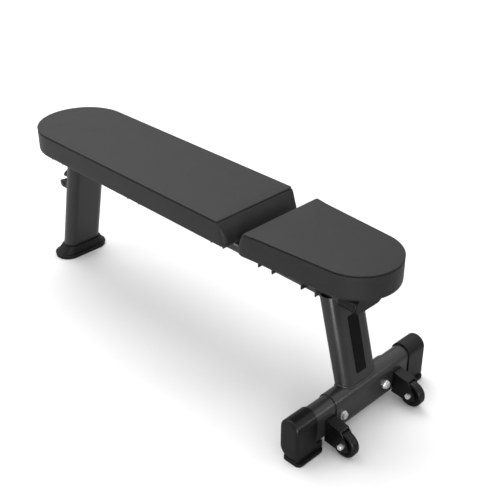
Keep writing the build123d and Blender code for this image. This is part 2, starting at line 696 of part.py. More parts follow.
def seat_outline():
    """Plan outline of the seat: sides that taper to a round nose and rounded gap corners."""
    seat_back_x = 2 * GAP_CENTRE_X - BACKREST_END_X
    half = SEAT_BACK_WIDTH / 2
    to_corner = Vector(seat_back_x - SEAT_NOSE_X, half)
    tangent_angle = atan2(to_corner.Y, to_corner.X) - acos(SEAT_NOSE_RADIUS / to_corner.length)
    tangent_x = SEAT_NOSE_X + SEAT_NOSE_RADIUS * cos(tangent_angle)
    tangent_y = SEAT_NOSE_RADIUS * sin(tangent_angle)
    with BuildSketch(Plane.XY.offset(PAD_BOTTOM)) as outline:
        with BuildLine():
            Polyline(
                (seat_back_x, -half),
                (tangent_x, -tangent_y),
                (tangent_x, tangent_y),
                (seat_back_x, half),
                close=True,
            )
        make_face()
        fillet(outline.vertices().group_by(Axis.X)[0], CORNER_RADIUS)
        with Locations((SEAT_NOSE_X, 0)):
            Circle(SEAT_NOSE_RADIUS)
    return outline.sketch


def pivot_pocket(pivot_x, towards_gap):
    """The recess in a pad's underside that its pivot sits in, open at the gap end."""
    with BuildPart() as pocket:
        with BuildSketch(Plane.XY.offset(PAD_BOTTOM)):
            with Locations((pivot_x + towards_gap * (60 - POCKET_REACH) / 2, 0)):
                Rectangle(60 + POCKET_REACH, 2 * POCKET_HALF_WIDTH)
        extrude(amount=POCKET_DEPTH)
    return pocket.part


def screw_places(channels):
    """Middle of each cross channel, near both of its ends."""
    return [((low + high) / 2, side * SCREW_Y) for low, high in channels.values() for side in (-1, 1)]


def build_screws(name, channels):
    """The hex-head screws that hold the channels to the board."""
    with BuildPart() as screws:
        web_bottom = PAD_BOTTOM - CHANNEL_WALL
        with BuildSketch(Plane.XY.offset(web_bottom)):
            with Locations(*screw_places(channels)):
                RegularPolygon(7.5, 6)
        extrude(amount=-5.5)
        with BuildSketch(Plane.XY.offset(web_bottom)):
            with Locations(*screw_places(channels)):
                Circle(SCREW_RADIUS)
        extrude(amount=CHANNEL_WALL + BOARD_THICKNESS - 1)
    save(screws, f"{name}_screws")
    return screws.part


def build_pad(name, outline, mirrored, pivot_x, channels):
    """The cushion and the board let into its underside."""
    towards_gap = -1 if mirrored else 1
    pocket = pivot_pocket(pivot_x, towards_gap)
    screws = build_screws(name, channels)
    nose = nose_block(mirrored)
    board_end = BACKREST_END_X - NOSE_LOWER_RADIUS - 5
    with BuildPart() as board:
        with BuildSketch(Plane.XY.offset(PAD_BOTTOM)):
            add(outline)
            offset(amount=-BOARD_INSET)
        extrude(amount=BOARD_THICKNESS)
        end_x = 2 * GAP_CENTRE_X - board_end if mirrored else board_end
        split(bisect_by=Plane.YZ.offset(end_x), keep=Keep.TOP if mirrored else Keep.BOTTOM)
        solid_board = board.part
        add(pocket, mode=Mode.SUBTRACT)
        add(screws, mode=Mode.SUBTRACT)
    save(board, f"{name}_board")
    with BuildPart() as cushion:
        add(outline)
        extrude(amount=PAD_THICKNESS)
        fillet(cushion.edges().group_by(Axis.Z)[0], BOTTOM_EDGE_RADIUS)
        add(nose, mode=Mode.INTERSECT)
        add(solid_board, mode=Mode.SUBTRACT)
        add(pocket, mode=Mode.SUBTRACT)
    save(cushion, f"{name}_cushion")


def build_channel(name, low_x, high_x, open_side):
    """A cross channel: a web with two flanges turned down, notched for the rails and the sector.
    open_side is +1 or -1 where the flange by the pivot is cut away in the middle, or 0."""
    width = high_x - low_x
    middle = (low_x + high_x) / 2
    with BuildPart() as channel:
        with BuildSketch(Plane.XZ.offset(CHANNEL_HALF_LENGTH)):
            with Locations((middle, PAD_BOTTOM - CHANNEL_DEPTH / 2)):
                Rectangle(width, CHANNEL_DEPTH)
            with Locations((middle, PAD_BOTTOM - CHANNEL_DEPTH / 2 - CHANNEL_WALL)):
                Rectangle(width - 2 * CHANNEL_WALL, CHANNEL_DEPTH, mode=Mode.SUBTRACT)
        extrude(amount=-2 * CHANNEL_HALF_LENGTH)
        notch_inner = SECTOR_INNER_Y - 0.5
        notch_outer = RAIL_INNER_Y + RAIL_THICKNESS
        with BuildSketch(Plane.XY.offset(PAD_BOTTOM - CHANNEL_DEPTH)):
            for side in (-1, 1):
                with Locations((middle, side * (notch_inner + notch_outer) / 2)):
                    Rectangle(width + 2, notch_outer - notch_inner)
        extrude(amount=CHANNEL_DEPTH - CHANNEL_WALL, mode=Mode.SUBTRACT)
        if open_side:
            edge_x = high_x if open_side > 0 else low_x
            with BuildSketch(Plane.XY.offset(PAD_BOTTOM - CHANNEL_DEPTH)):
                with Locations((edge_x - open_side * 7, 0)):
                    Rectangle(14, 2 * (LUG_INNER_Y + LUG_THICKNESS + 3))
            extrude(amount=CHANNEL_DEPTH, mode=Mode.SUBTRACT)
        with BuildSketch(Plane.XY.offset(PAD_BOTTOM - CHANNEL_WALL)):
            with Locations((middle, -SCREW_Y), (middle, SCREW_Y)):
                Circle(SCREW_RADIUS)
        extrude(amount=CHANNEL_WALL, mode=Mode.SUBTRACT)
    save(channel, name)


def build_rails(name, low_x, high_x):
    """Two flat bars along the pad, one on each side of the spine."""
    with BuildPart() as rails:
        with BuildSketch(Plane.XY.offset(PAD_BOTTOM - CHANNEL_WALL)):
            for side in (-1, 1):
                with Locations(((low_x + high_x) / 2, side * (RAIL_INNER_Y + RAIL_THICKNESS / 2))):
                    Rectangle(high_x - low_x, RAIL_THICKNESS)
        extrude(amount=-RAIL_HEIGHT)
    save(rails, f"{name}_rails")


def build_lugs(name, pivot_x, away, inner_flange_x):
    """Two lugs from the pivot channel's web to the pivot shaft, outside the spine's ears."""
    web_bottom = PAD_BOTTOM - CHANNEL_WALL
    bar_height = CHANNEL_DEPTH - CHANNEL_WALL - 2
    with BuildPart() as lugs:
        for side in (-1, 1):
            plane, amount = span_y(side * LUG_INNER_Y, side * (LUG_INNER_Y + LUG_THICKNESS))
            with BuildSketch(plane):
                with Locations(((pivot_x + inner_flange_x) / 2, web_bottom - bar_height / 2)):
                    Rectangle(abs(inner_flange_x - pivot_x), bar_height)
                with Locations((pivot_x, PIVOT_Z)):
                    Circle(EAR_RADIUS)
                with Locations((pivot_x, (PIVOT_Z + web_bottom - 8) / 2)):
                    Rectangle(2 * EAR_RADIUS, PIVOT_Z - web_bottom + 8)
                with Locations((pivot_x, PIVOT_Z)):
                    Circle(PIVOT_RADIUS, mode=Mode.SUBTRACT)
            extrude(amount=amount)
    save(lugs, f"{name}_pivot_lugs")


def build_shaft(name, pivot_x):
    """The pivot shaft, with a clip on each end."""
    half = LUG_INNER_Y + LUG_THICKNESS + 4
    plane, amount = span_y(-half, half)
    with BuildPart() as shaft:
        with BuildSketch(plane):
            with Locations((pivot_x, PIVOT_Z)):
                Circle(PIVOT_RADIUS)
        extrude(amount=amount)
        chamfer(shaft.edges().filter_by(GeomType.CIRCLE), 0.8)
    save(shaft, f"{name}_pivot_shaft")


def sector_point(pivot_x, away, angle):
    """Where the locking hole for a pad angle stands while the pad lies flat."""
    start = atan(PIN_DROP / PIN_REACH) + radians(angle)
    return pivot_x + away * SECTOR_RADIUS * cos(start), PIVOT_Z - SECTOR_RADIUS * sin(start)


def build_sector(name, pivot_x, away, positions, web_reach):
    """The locking plate: an arc of holes about the pivot, with a web up to the rail."""
    plane, amount = span_y(SECTOR_INNER_Y, SECTOR_INNER_Y + SECTOR_THICKNESS)
    first = degrees(atan(PIN_DROP / PIN_REACH))
    sweep = positions[-1]
    start_angle = 180 + first if away < 0 else -first - sweep
    rail_bottom = PAD_BOTTOM - CHANNEL_WALL - RAIL_HEIGHT
    first_x, first_z = sector_point(pivot_x, away, 0)
    with BuildPart() as sector:
        with BuildSketch(plane):
            with BuildLine():
                outer = CenterArc((pivot_x, PIVOT_Z), SECTOR_RADIUS + SECTOR_BAND / 2, start_angle, sweep)
                inner = CenterArc((pivot_x, PIVOT_Z), SECTOR_RADIUS - SECTOR_BAND / 2, start_angle, sweep)
                Line(outer @ 0, inner @ 0)
                Line(outer @ 1, inner @ 1)
            make_face()
            with Locations(sector_point(pivot_x, away, 0), sector_point(pivot_x, away, sweep)):
                Circle(SECTOR_BAND / 2)
            with Locations((first_x - away * 1.0, (first_z + rail_bottom + RAIL_HEIGHT) / 2)):
                Rectangle(22, rail_bottom + RAIL_HEIGHT - first_z)
            with Locations(((first_x + web_reach) / 2, rail_bottom + RAIL_HEIGHT / 2)):
                Rectangle(abs(first_x - web_reach) + 22, RAIL_HEIGHT)
            if sweep > 45:
                with Locations((pivot_x, (rail_bottom + PIVOT_Z - SECTOR_RADIUS) / 2)):
                    Rectangle(22, rail_bottom + 2 - PIVOT_Z + SECTOR_RADIUS)
            holes = [sector_point(pivot_x, away, angle) for angle in positions]
            with Locations(*holes):
                Circle(HOLE_RADIUS, mode=Mode.SUBTRACT)
        extrude(amount=amount)
    save(sector, f"{name}_locking_sector")


build_pad("backrest", backrest_outline(), False, BACKREST_PIVOT_X, BACKREST_CHANNELS)
build_pad("seat", seat_outline(), True, SEAT_PIVOT_X, SEAT_CHANNELS)
for place, (low_x, high_x) in BACKREST_CHANNELS.items():
    build_channel(f"backrest_channel_{place}", low_x, high_x, 1 if place == "pivot" else 0)
for place, (low_x, high_x) in SEAT_CHANNELS.items():
    build_channel(f"seat_channel_{place}", low_x, high_x, -1 if place == "pivot" else 0)
build_rails("backrest", -521.0, 170.0)
build_rails("seat", 310.0, 474.0)
build_lugs("backrest", BACKREST_PIVOT_X, -1, BACKREST_CHANNELS["pivot"][0] + CHANNEL_WALL)
build_lugs("seat", SEAT_PIVOT_X, 1, SEAT_CHANNELS["pivot"][1] - CHANNEL_WALL)
build_shaft("backrest", BACKREST_PIVOT_X)
build_shaft("seat", SEAT_PIVOT_X)
build_sector("backrest", BACKREST_PIVOT_X, -1, BACKREST_POSITIONS, BACKREST_PIVOT_X)
build_sector("seat", SEAT_PIVOT_X, 1, SEAT_POSITIONS, SEAT_CHANNELS["pivot"][0] + 22)
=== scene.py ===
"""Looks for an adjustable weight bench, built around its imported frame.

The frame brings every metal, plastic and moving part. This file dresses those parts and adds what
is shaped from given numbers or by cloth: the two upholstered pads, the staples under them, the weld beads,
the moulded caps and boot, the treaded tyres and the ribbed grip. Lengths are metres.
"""

import json
import logging
import math
from dataclasses import dataclass, field
from enum import Enum
from typing import Sequence

import bmesh
import bpy
import numpy as np
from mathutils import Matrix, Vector


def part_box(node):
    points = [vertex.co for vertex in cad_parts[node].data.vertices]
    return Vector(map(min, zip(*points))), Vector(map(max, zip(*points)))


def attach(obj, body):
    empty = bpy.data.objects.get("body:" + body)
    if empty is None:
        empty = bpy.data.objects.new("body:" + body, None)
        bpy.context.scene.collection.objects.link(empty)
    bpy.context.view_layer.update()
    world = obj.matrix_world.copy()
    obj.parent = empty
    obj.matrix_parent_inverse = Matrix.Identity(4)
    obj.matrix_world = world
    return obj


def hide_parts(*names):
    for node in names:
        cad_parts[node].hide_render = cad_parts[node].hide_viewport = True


LOG = logging.getLogger("bench")
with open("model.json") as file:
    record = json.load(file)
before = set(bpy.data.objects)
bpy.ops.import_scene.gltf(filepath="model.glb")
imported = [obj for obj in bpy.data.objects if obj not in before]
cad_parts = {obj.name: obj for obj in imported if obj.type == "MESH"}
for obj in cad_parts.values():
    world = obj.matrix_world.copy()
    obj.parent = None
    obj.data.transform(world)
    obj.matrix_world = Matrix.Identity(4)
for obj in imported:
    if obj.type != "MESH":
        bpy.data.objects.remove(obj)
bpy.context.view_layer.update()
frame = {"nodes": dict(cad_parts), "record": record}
MM = 0.001
FULL_TURN = 2 * math.pi
QUARTER_TURN = math.pi / 2
CLOTH_SETTINGS = {
    "quality": 6, "mass": 0.4, "tension_stiffness": 14, "compression_stiffness": 14,
    "shear_stiffness": 8, "bending_stiffness": 1.5, "use_pressure": True,
    "uniform_pressure_force": 3.0, "vertex_group_mass": "held",
}
SIDES = (("left", -1), ("right", 1))
Colour = tuple[float, float, float, float]
Point = tuple[float, float, float]
Node, Object = bpy.types.Node, bpy.types.Object
Socket, Tree = bpy.types.NodeSocket, bpy.types.NodeTree


# ---- surfaces
def grid_faces(rows: int, columns: int, wrap_columns: bool = True, wrap_rows: bool = False) -> np.ndarray:
    """Quads of a grid whose vertex in a row and column has the index row * columns + column.

    Args:
        rows: Number of grid rows.
        columns: Number of grid columns.
        wrap_columns: Whether the last column joins the first.
        wrap_rows: Whether the last row joins the first.

    Returns:
        Four vertex indices per quad.
    """
    row = np.arange(rows if wrap_rows else rows - 1)
    column = np.arange(columns if wrap_columns else columns - 1)
    i, j = np.meshgrid(row, column, indexing="ij")
    below, beside = (i + 1) % rows, (j + 1) % columns
    quads = [i * columns + j, i * columns + beside, below * columns + beside, below * columns + j]
    return np.stack(quads, -1).reshape(-1, 4)


def make_object(name: str, vertices: np.ndarray, faces: Sequence, merge: float = 1e-5) -> Object:
    """Make a mesh object at the origin, with its doubles merged and its normals outwards.

    Args:
        name: Name of the object and its mesh.
        vertices: One position per row.
        faces: Vertex indices of each face.
        merge: Distance under which vertices become one.

    Returns:
        The new object, shaded smooth.
    """
    mesh = bpy.data.meshes.new(name)
    mesh.from_pydata(vertices.reshape(-1, 3).tolist(), [], [list(face) for face in faces])
    work = bmesh.new()
    work.from_mesh(mesh)
    bmesh.ops.remove_doubles(work, verts=work.verts, dist=merge)
    bmesh.ops.dissolve_degenerate(work, edges=work.edges, dist=merge / 4)
    bmesh.ops.recalc_face_normals(work, faces=work.faces)
    work.to_mesh(mesh)
    work.free()
    mesh.shade_smooth()
    obj = bpy.data.objects.new(name, mesh)
    bpy.context.scene.collection.objects.link(obj)
    return obj


def bake_modifiers(obj: Object) -> None:
    """Replace the object's mesh by what its modifiers make of it, and drop them."""
    graph = bpy.context.evaluated_depsgraph_get()
    mesh = bpy.data.meshes.new_from_object(obj.evaluated_get(graph))
    obj.modifiers.clear()
    old, obj.data = obj.data, mesh
    bpy.data.meshes.remove(old)


def read_points(mesh: bpy.types.Mesh, kind: str = "co") -> np.ndarray:
    """One row of three numbers for each vertex: its place, or its normal."""
    values = np.empty(len(mesh.vertices) * 3)
    mesh.vertices.foreach_get(kind, values)
    return values.reshape(-1, 3)


def write_points(mesh: bpy.types.Mesh, points: np.ndarray) -> None:
    """Move every vertex to the place in its own row."""
    mesh.vertices.foreach_set("co", points.ravel())
    mesh.update()


def add_subdivision(obj: Object, levels: int) -> None:
    """Add a subdivision surface whose viewport and render levels are the same."""
    modifier = obj.modifiers.new("smooth", "SUBSURF")
    modifier.levels = modifier.render_levels = levels


def circle(count: int) -> np.ndarray:
    """Even angles once round, the last one short of the first."""
    return np.linspace(0, FULL_TURN, count, endpoint=False)


def quarter(count: int) -> np.ndarray:
    """Even angles from zero to a right angle."""
    return np.linspace(0, QUARTER_TURN, count)


def unit(vectors: np.ndarray) -> np.ndarray:
    """Each row made one long."""
    return vectors / np.linalg.norm(vectors, axis=-1, keepdims=True)


def outward_of(tangent: np.ndarray) -> np.ndarray:
    """Plan directions turned a right angle, away from the inside of an outline."""
    return np.stack([-tangent[:, 1], tangent[:, 0]], -1)


def smooth_step(value: np.ndarray) -> np.ndarray:
    """Zero below 0, one above 1, and 3 t squared less 2 t cubed between them."""
    t = np.clip(value, 0, 1)
    return t * t * (3 - 2 * t)


def resample(points: np.ndarray, count: int) -> np.ndarray:
    """Points at even distances along a polyline, both of its ends included.

    Args:
        points: The polyline.
        count: Number of points wanted.

    Returns:
        The new points.
    """
    step = np.linalg.norm(np.diff(points, axis=0), axis=1)
    run = np.concatenate([[0], np.cumsum(step)])
    place = np.linspace(0, run[-1], count)
    return np.stack([np.interp(place, run, column) for column in points.T], -1)


def loft(name: str, rings: np.ndarray) -> Object:
    """Skin a stack of closed rings of the same number of points, and fan its two ends shut.

    Args:
        name: Name of the object.
        rings: Array of rings, points and coordinates.

    Returns:
        The closed surface.
    """
    first = np.broadcast_to(rings[:1].mean(1, keepdims=True), rings[:1].shape)
    last = np.broadcast_to(rings[-1:].mean(1, keepdims=True), rings[-1:].shape)
    rings = np.concatenate([first, rings, last])
    return make_object(name, rings, grid_faces(rings.shape[0], rings.shape[1]))


def tube(name: str, path: np.ndarray, radius: np.ndarray, sides: int, closed: bool) -> Object:
    """A round tube whose ring at each point of a path is spanned by the path's normal and binormal.

    Args:
        name: Name of the object.
        path: Points of the middle line.
        radius: Tube radius at each point.
        sides: Number of points round the tube.
        closed: Whether the path comes back to its start.

    Returns:
        The closed surface.
    """
    tangent = np.roll(path, -1, 0) - np.roll(path, 1, 0) if closed else np.gradient(path, axis=0)
    tangent = unit(tangent)
    upright = np.abs(tangent[:, 2:3]) > 0.9
    reference = np.where(upright, np.array([[1.0, 0.0, 0.0]]), np.array([[0.0, 0.0, 1.0]]))
    normal = unit(np.cross(tangent, reference))
    binormal = np.cross(tangent, normal)
    turn = circle(sides)[None, :, None]
    spokes = np.cos(turn) * normal[:, None] + np.sin(turn) * binormal[:, None]
    rings = path[:, None] + radius[:, None, None] * spokes
    if closed:
        return make_object(name, rings, grid_faces(len(path), sides, wrap_rows=True))
    return loft(name, rings)


# ---- node helpers
class Wires:
    """A node tree, with short ways to add nodes to it and to join their sockets."""

    def __init__(self, tree: Tree) -> None:
        """Keep the tree that the nodes go into."""
        self.tree = tree

    def node(self, kind: str, inputs: dict | None = None, **settings: object) -> Node:
        """Add a node.

        Args:
            kind: Node type.
            inputs: Socket name or index, with the value it takes or the socket that feeds it.
            settings: Attributes of the node itself.

        Returns:
            The new node.
        """
        node = self.tree.nodes.new(kind)
        for key, value in settings.items():
            setattr(node, key, value)
        self.feed(node, inputs or {})
        return node

    def feed(self, node: Node, inputs: dict) -> None:
        """Set a node's inputs to values, or join them to the sockets that feed them."""
        for key, value in inputs.items():
            if isinstance(value, Socket):
                self.tree.links.new(value, node.inputs[key])
            else:
                node.inputs[key].default_value = value

    def math(self, operation: str, first: object, second: object) -> Socket:
        """The result of a Math node with two inputs."""
        return self.node("ShaderNodeMath", {0: first, 1: second}, operation=operation).outputs[0]

    def times(self, first: object, second: object) -> Socket:
        """The product of two values."""
        return self.math("MULTIPLY", first, second)

    def blend(self, factor: object, first: object, second: object) -> Socket:
        """The colour between two colours at a factor."""
        mix = self.node("ShaderNodeMix", {0: factor, 6: first, 7: second}, data_type="RGBA")
        return mix.outputs[2]

    def remap(self, value: object, low: object, high: object, to_low: object, to_high: object) -> Socket:
        """A value moved from one range to another and held inside it."""
        inputs = {"Value": value, "From Min": low, "From Max": high, "To Min": to_low, "To Max": to_high}
        return self.node("ShaderNodeMapRange", inputs).outputs["Result"]

    def noise(self, vector: object, scale: object, detail: float = 3.0, roughness: float = 0.55) -> Socket:
        """A cloudy value between 0 and 1."""
        inputs = {"Vector": vector, "Scale": scale, "Detail": detail, "Roughness": roughness}
        return self.node("ShaderNodeTexNoise", inputs).outputs[0]

    def stretch(self, vector: object, scale: Point) -> Socket:
        """Coordinates scaled along each axis."""
        return self.node("ShaderNodeMapping", {"Vector": vector, "Scale": scale}).outputs[0]

    def vectors(self, operation: str, first: object, second: object) -> Node:
        """A Vector Math node with two inputs."""
        return self.node("ShaderNodeVectorMath", {0: first, 1: second}, operation=operation)


class EffectWires(Wires):
    """The inside of a shader node group that reads a position and some numbers."""

    def __init__(self, name: str, inputs: dict[str, float], outputs: Sequence[str]) -> None:
        """Make the group with its sockets.

        Args:
            name: Name of the group.
            inputs: Number inputs and their usual values.
            outputs: Names of the values it puts out.
        """
        super().__init__(bpy.data.node_groups.new(name, "ShaderNodeTree"))
        sockets = self.tree.interface
        sockets.new_socket(name="Vector", in_out="INPUT", socket_type="NodeSocketVector")
        for key, value in inputs.items():
            socket = sockets.new_socket(name=key, in_out="INPUT", socket_type="NodeSocketFloat")
            socket.default_value = value
        for key in outputs:
            sockets.new_socket(name=key, in_out="OUTPUT", socket_type="NodeSocketFloat")
        self.given = self.tree.nodes.new("NodeGroupInput").outputs
        self.place = self.given["Vector"]
        self.sink = self.tree.nodes.new("NodeGroupOutput")

    def finish(self, **results: Socket) -> Tree:
        """Join the results to the group's outputs, and give the group back."""
        self.feed(self.sink, results)
        return self.tree


class Effects:
    """The shared surface effects, each built once as a shader node group."""

    def __init__(self) -> None:
        """Build every group."""
        self.grain = self.build_grain()
        self.mottle = self.build_mottle()
        self.peel = self.build_peel()
        self.wear = self.build_wear()
        self.scuffs = self.build_scuffs()

    def build_grain(self) -> Tree:
        """Embossed leather grain: rounded cells with creases between them, and fine pores.

        Returns:
            The group, which puts out Height and Crease.
        """
        wires = EffectWires("leather grain", {"Cell Scale": 750.0, "Pore Depth": 0.25}, ["Height", "Crease"])
        wander = wires.noise(wires.place, 260.0, 2.0)
        drift = wires.node("ShaderNodeVectorMath", {0: wander, 3: 0.0012}, operation="SCALE")
        moved = wires.vectors("ADD", wires.place, drift.outputs[0])
        inputs = {"Vector": moved.outputs[0], "Scale": wires.given["Cell Scale"]}
        cells = wires.node("ShaderNodeTexVoronoi", inputs, feature="DISTANCE_TO_EDGE")
        crease = wires.remap(cells.outputs["Distance"], 0.0, 0.16, 1.0, 0.0)
        dip = wires.times(wires.noise(wires.place, 2600.0, 2.0), wires.given["Pore Depth"])
        height = wires.math("SUBTRACT", wires.math("SUBTRACT", 1.0, crease), dip)
        return wires.finish(Height=height, Crease=crease)

    def build_mottle(self) -> Tree:
        """Slow cloudy change over a surface, held between two values.

        Returns:
            The group, which puts out Value and Cloud.
        """
        wires = EffectWires("mottle", {"Scale": 9.0, "Low": 0.4, "High": 0.5}, ["Value", "Cloud"])
        cloud = wires.noise(wires.place, wires.given["Scale"], 5.0)
        value = wires.remap(cloud, 0.3, 0.7, wires.given["Low"], wires.given["High"])
        return wires.finish(Value=value, Cloud=wires.remap(cloud, 0.3, 0.7, 0.0, 1.0))

    def build_peel(self) -> Tree:
        """The fine orange peel of sprayed coats and the fine sand of moulded plastic.

        Returns:
            The group, which puts out Height.
        """
        wires = EffectWires("peel", {"Scale": 420.0, "Speckle": 0.3}, ["Height"])
        wave = wires.noise(wires.place, wires.given["Scale"], 2.0)
        fine = wires.noise(wires.place, wires.times(wires.given["Scale"], 5.0), 1.0)
        speckle = wires.times(fine, wires.given["Speckle"])
        return wires.finish(Height=wires.math("ADD", wave, speckle))

    def build_wear(self) -> Tree:
        """Rubbed edges: where a rounded normal leaves the true one, broken up by noise.

        Returns:
            The group, which puts out Mask.
        """
        wires = EffectWires("edge wear", {"Radius": 0.0012, "Amount": 0.6}, ["Mask"])
        soft = wires.node("ShaderNodeBevel", {"Radius": wires.given["Radius"]}, samples=4)
        true = wires.node("ShaderNodeNewGeometry")
        likeness = wires.vectors("DOT_PRODUCT", soft.outputs[0], true.outputs["Normal"])
        edge = wires.remap(likeness.outputs["Value"], 0.99, 0.86, 0.0, 1.0)
        broken = wires.remap(wires.noise(wires.place, 90.0, 5.0), 0.42, 0.62, 0.0, 1.0)
        mask = wires.times(wires.times(edge, broken), wires.given["Amount"])
        return wires.finish(Mask=mask)

    def build_scuffs(self) -> Tree:
        """Thin rub marks and faint smudges, long along the first axis.

        Returns:
            The group, which puts out Mask.
        """
        wires = EffectWires("scuffs", {"Scale": 60.0, "Amount": 0.5}, ["Mask"])
        drawn = wires.stretch(wires.place, (0.25, 1.0, 1.0))
        line = wires.noise(drawn, wires.times(wires.given["Scale"], 6.0), 6.0, 0.7)
        patch = wires.noise(wires.place, wires.times(wires.given["Scale"], 0.2), 2.0)
        thin = wires.remap(line, 0.62, 0.74, 0.0, 1.0)
        where = wires.remap(patch, 0.45, 0.65, 0.0, 1.0)
        mask = wires.times(wires.times(thin, where), wires.given["Amount"])
        return wires.finish(Mask=mask)


# ---- finishes
def grey(value: float, warmth: float = 0.0) -> Colour:
    """A neutral colour, warmer for a positive warmth and cooler for a negative one."""
    return (value * (1 + warmth), value, value * (1 - warmth), 1.0)


class Surface(Wires):
    """The wires of one material, with its shader and its surface position at hand."""

    def __init__(self, name: str, reflectance: float) -> None:
        """Make the material with its plain shader."""
        self.material = bpy.data.materials.new(name)
        self.material.use_nodes = True
        super().__init__(self.material.node_tree)
        self.shader = self.tree.nodes["Principled BSDF"]
        self.shader.inputs["Specular IOR Level"].default_value = reflectance
        self.place = self.node("ShaderNodeTexCoord").outputs["Object"]

    def effect(self, group: Tree, values: dict[str, float]) -> bpy.types.bpy_prop_collection:
        """The outputs of an effect group placed here with its own values."""
        return self.node("ShaderNodeGroup", {"Vector": self.place, **values}, node_tree=group).outputs

    def repaint(self, mask: Socket, colour: Colour) -> None:
        """Lay a second colour over the base colour where a mask says."""
        under = self.shader.inputs["Base Color"].links[0].from_socket
        self.feed(self.shader, {"Base Color": self.blend(mask, under, colour)})

    def roughen(self, mask: Socket, amount: float) -> None:
        """Add to the roughness where a mask says."""
        under = self.shader.inputs["Roughness"].links[0].from_socket
        added = self.math("ADD", under, self.times(mask, amount))
        self.feed(self.shader, {"Roughness": added})

    def emboss(self, height: Socket, depth: float) -> None:
        """Raise the surface by a height, of a depth in metres."""
        bump = self.node("ShaderNodeBump", {"Strength": 1.0, "Distance": depth, "Height": height})
        self.feed(self.shader, {"Normal": bump.outputs[0]})


@dataclass(frozen=True)
class Finish:
    """What every finish shares: a name, two close colours, how wavy its gloss is and how strong."""

    name: str
    colour: Colour
    patch_colour: Colour
    gloss_low: float
    gloss_high: float
    mottle_scale: float = 9.0
    reflectance: float = field(default=0.5, kw_only=True)

    def build(self, effects: Effects) -> bpy.types.Material:
        """Make the material: clouded colour and roughness first, then the finish's own detail.

        Args:
            effects: The shared effect groups.

        Returns:
            The material.
        """
        surface = Surface(self.name, self.reflectance)
        values = {"Scale": self.mottle_scale, "Low": self.gloss_low, "High": self.gloss_high}
        mottle = surface.effect(effects.mottle, values)
        tint = surface.blend(mottle["Cloud"], self.colour, self.patch_colour)
        surface.feed(surface.shader, {"Roughness": mottle["Value"], "Base Color": tint})
        self.add_detail(surface, effects)
        return surface.material

    def add_detail(self, surface: Surface, effects: Effects) -> None:
        """Add what only this finish has."""
        raise NotImplementedError


@dataclass(frozen=True)
class LeatherFinish(Finish):
    """Black artificial leather: embossed grain, soft sheen, and painted shade that darkens the grain's
    creases.
    """

    grain_depth: float = 0.00016
    cell_scale: float = 620.0
    sheen: float = 0.06
    reflectance: float = field(default=0.36, kw_only=True)

    def add_detail(self, surface: Surface, effects: Effects) -> None:
        """Add the grain, the painted shade in its creases, rub marks and the sheen."""
        grain = surface.effect(effects.grain, {"Cell Scale": self.cell_scale, "Pore Depth": 0.25})
        scuffs = surface.effect(effects.scuffs, {"Scale": 22.0, "Amount": 0.25})
        # painted shade: the grain's creases are darkened in colour, as if shade fell into them
        surface.repaint(surface.times(grain["Crease"], 0.45), grey(0.006))
        surface.roughen(grain["Crease"], 0.1)
        surface.roughen(scuffs["Mask"], 0.18)
        surface.emboss(grain["Height"], self.grain_depth)
        surface.feed(surface.shader, {"Sheen Weight": self.sheen, "Sheen Roughness": 0.4})


@dataclass(frozen=True)
class CoatFinish(Finish):
    """Sprayed powder coat: orange peel, a clear surface skin, and edges rubbed a little lighter."""

    peel_depth: float = 0.00006
    peel_scale: float = 420.0
    worn_colour: Colour = (0.10, 0.10, 0.105, 1.0)
    wear: float = 0.35
    skin: float = 0.1

    def add_detail(self, surface: Surface, effects: Effects) -> None:
        """Add the peel, the worn edges, rub marks and the clear skin."""
        peel = surface.effect(effects.peel, {"Scale": self.peel_scale, "Speckle": 0.35})
        wear = surface.effect(effects.wear, {"Radius": 0.001, "Amount": self.wear})
        scuffs = surface.effect(effects.scuffs, {"Scale": 40.0, "Amount": 0.3})
        surface.repaint(wear["Mask"], self.worn_colour)
        surface.roughen(scuffs["Mask"], 0.22)
        surface.emboss(peel["Height"], self.peel_depth)
        surface.feed(surface.shader, {"Coat Weight": self.skin, "Coat Roughness": 0.25})


@dataclass(frozen=True)
class MouldedFinish(Finish):
    """Moulded plastic or rubber: fine sand texture, dull patches and greyed edges."""

    sand_depth: float = 0.00005
    sand_scale: float = 900.0
    worn_colour: Colour = (0.04, 0.04, 0.04, 1.0)
    wear: float = 0.4
    reflectance: float = field(default=0.28, kw_only=True)

    def add_detail(self, surface: Surface, effects: Effects) -> None:
        """Add the sand and the worn edges."""
        sand = surface.effect(effects.peel, {"Scale": self.sand_scale, "Speckle": 0.8})
        wear = surface.effect(effects.wear, {"Radius": 0.0012, "Amount": self.wear})
        surface.repaint(wear["Mask"], self.worn_colour)
        surface.roughen(wear["Mask"], 0.15)
        surface.emboss(sand["Height"], self.sand_depth)


@dataclass(frozen=True)
class MetalFinish(Finish):
    """Bare or plated metal: fine drawn lines, dull clouds and darker stains."""

    stain_colour: Colour = (0.2, 0.19, 0.18, 1.0)
    stain: float = 0.5
    line_depth: float = 0.00003
    metallic: float = 1.0

    def add_detail(self, surface: Surface, effects: Effects) -> None:
        """Add the stains and the drawn lines."""
        scuffs = surface.effect(effects.scuffs, {"Scale": 160.0, "Amount": self.stain})
        lines = surface.noise(surface.stretch(surface.place, (1.0, 1.0, 9.0)), 700.0, 3.0)
        surface.repaint(scuffs["Mask"], self.stain_colour)
        surface.roughen(scuffs["Mask"], 0.25)
        surface.emboss(lines, self.line_depth)
        surface.feed(surface.shader, {"Metallic": self.metallic})


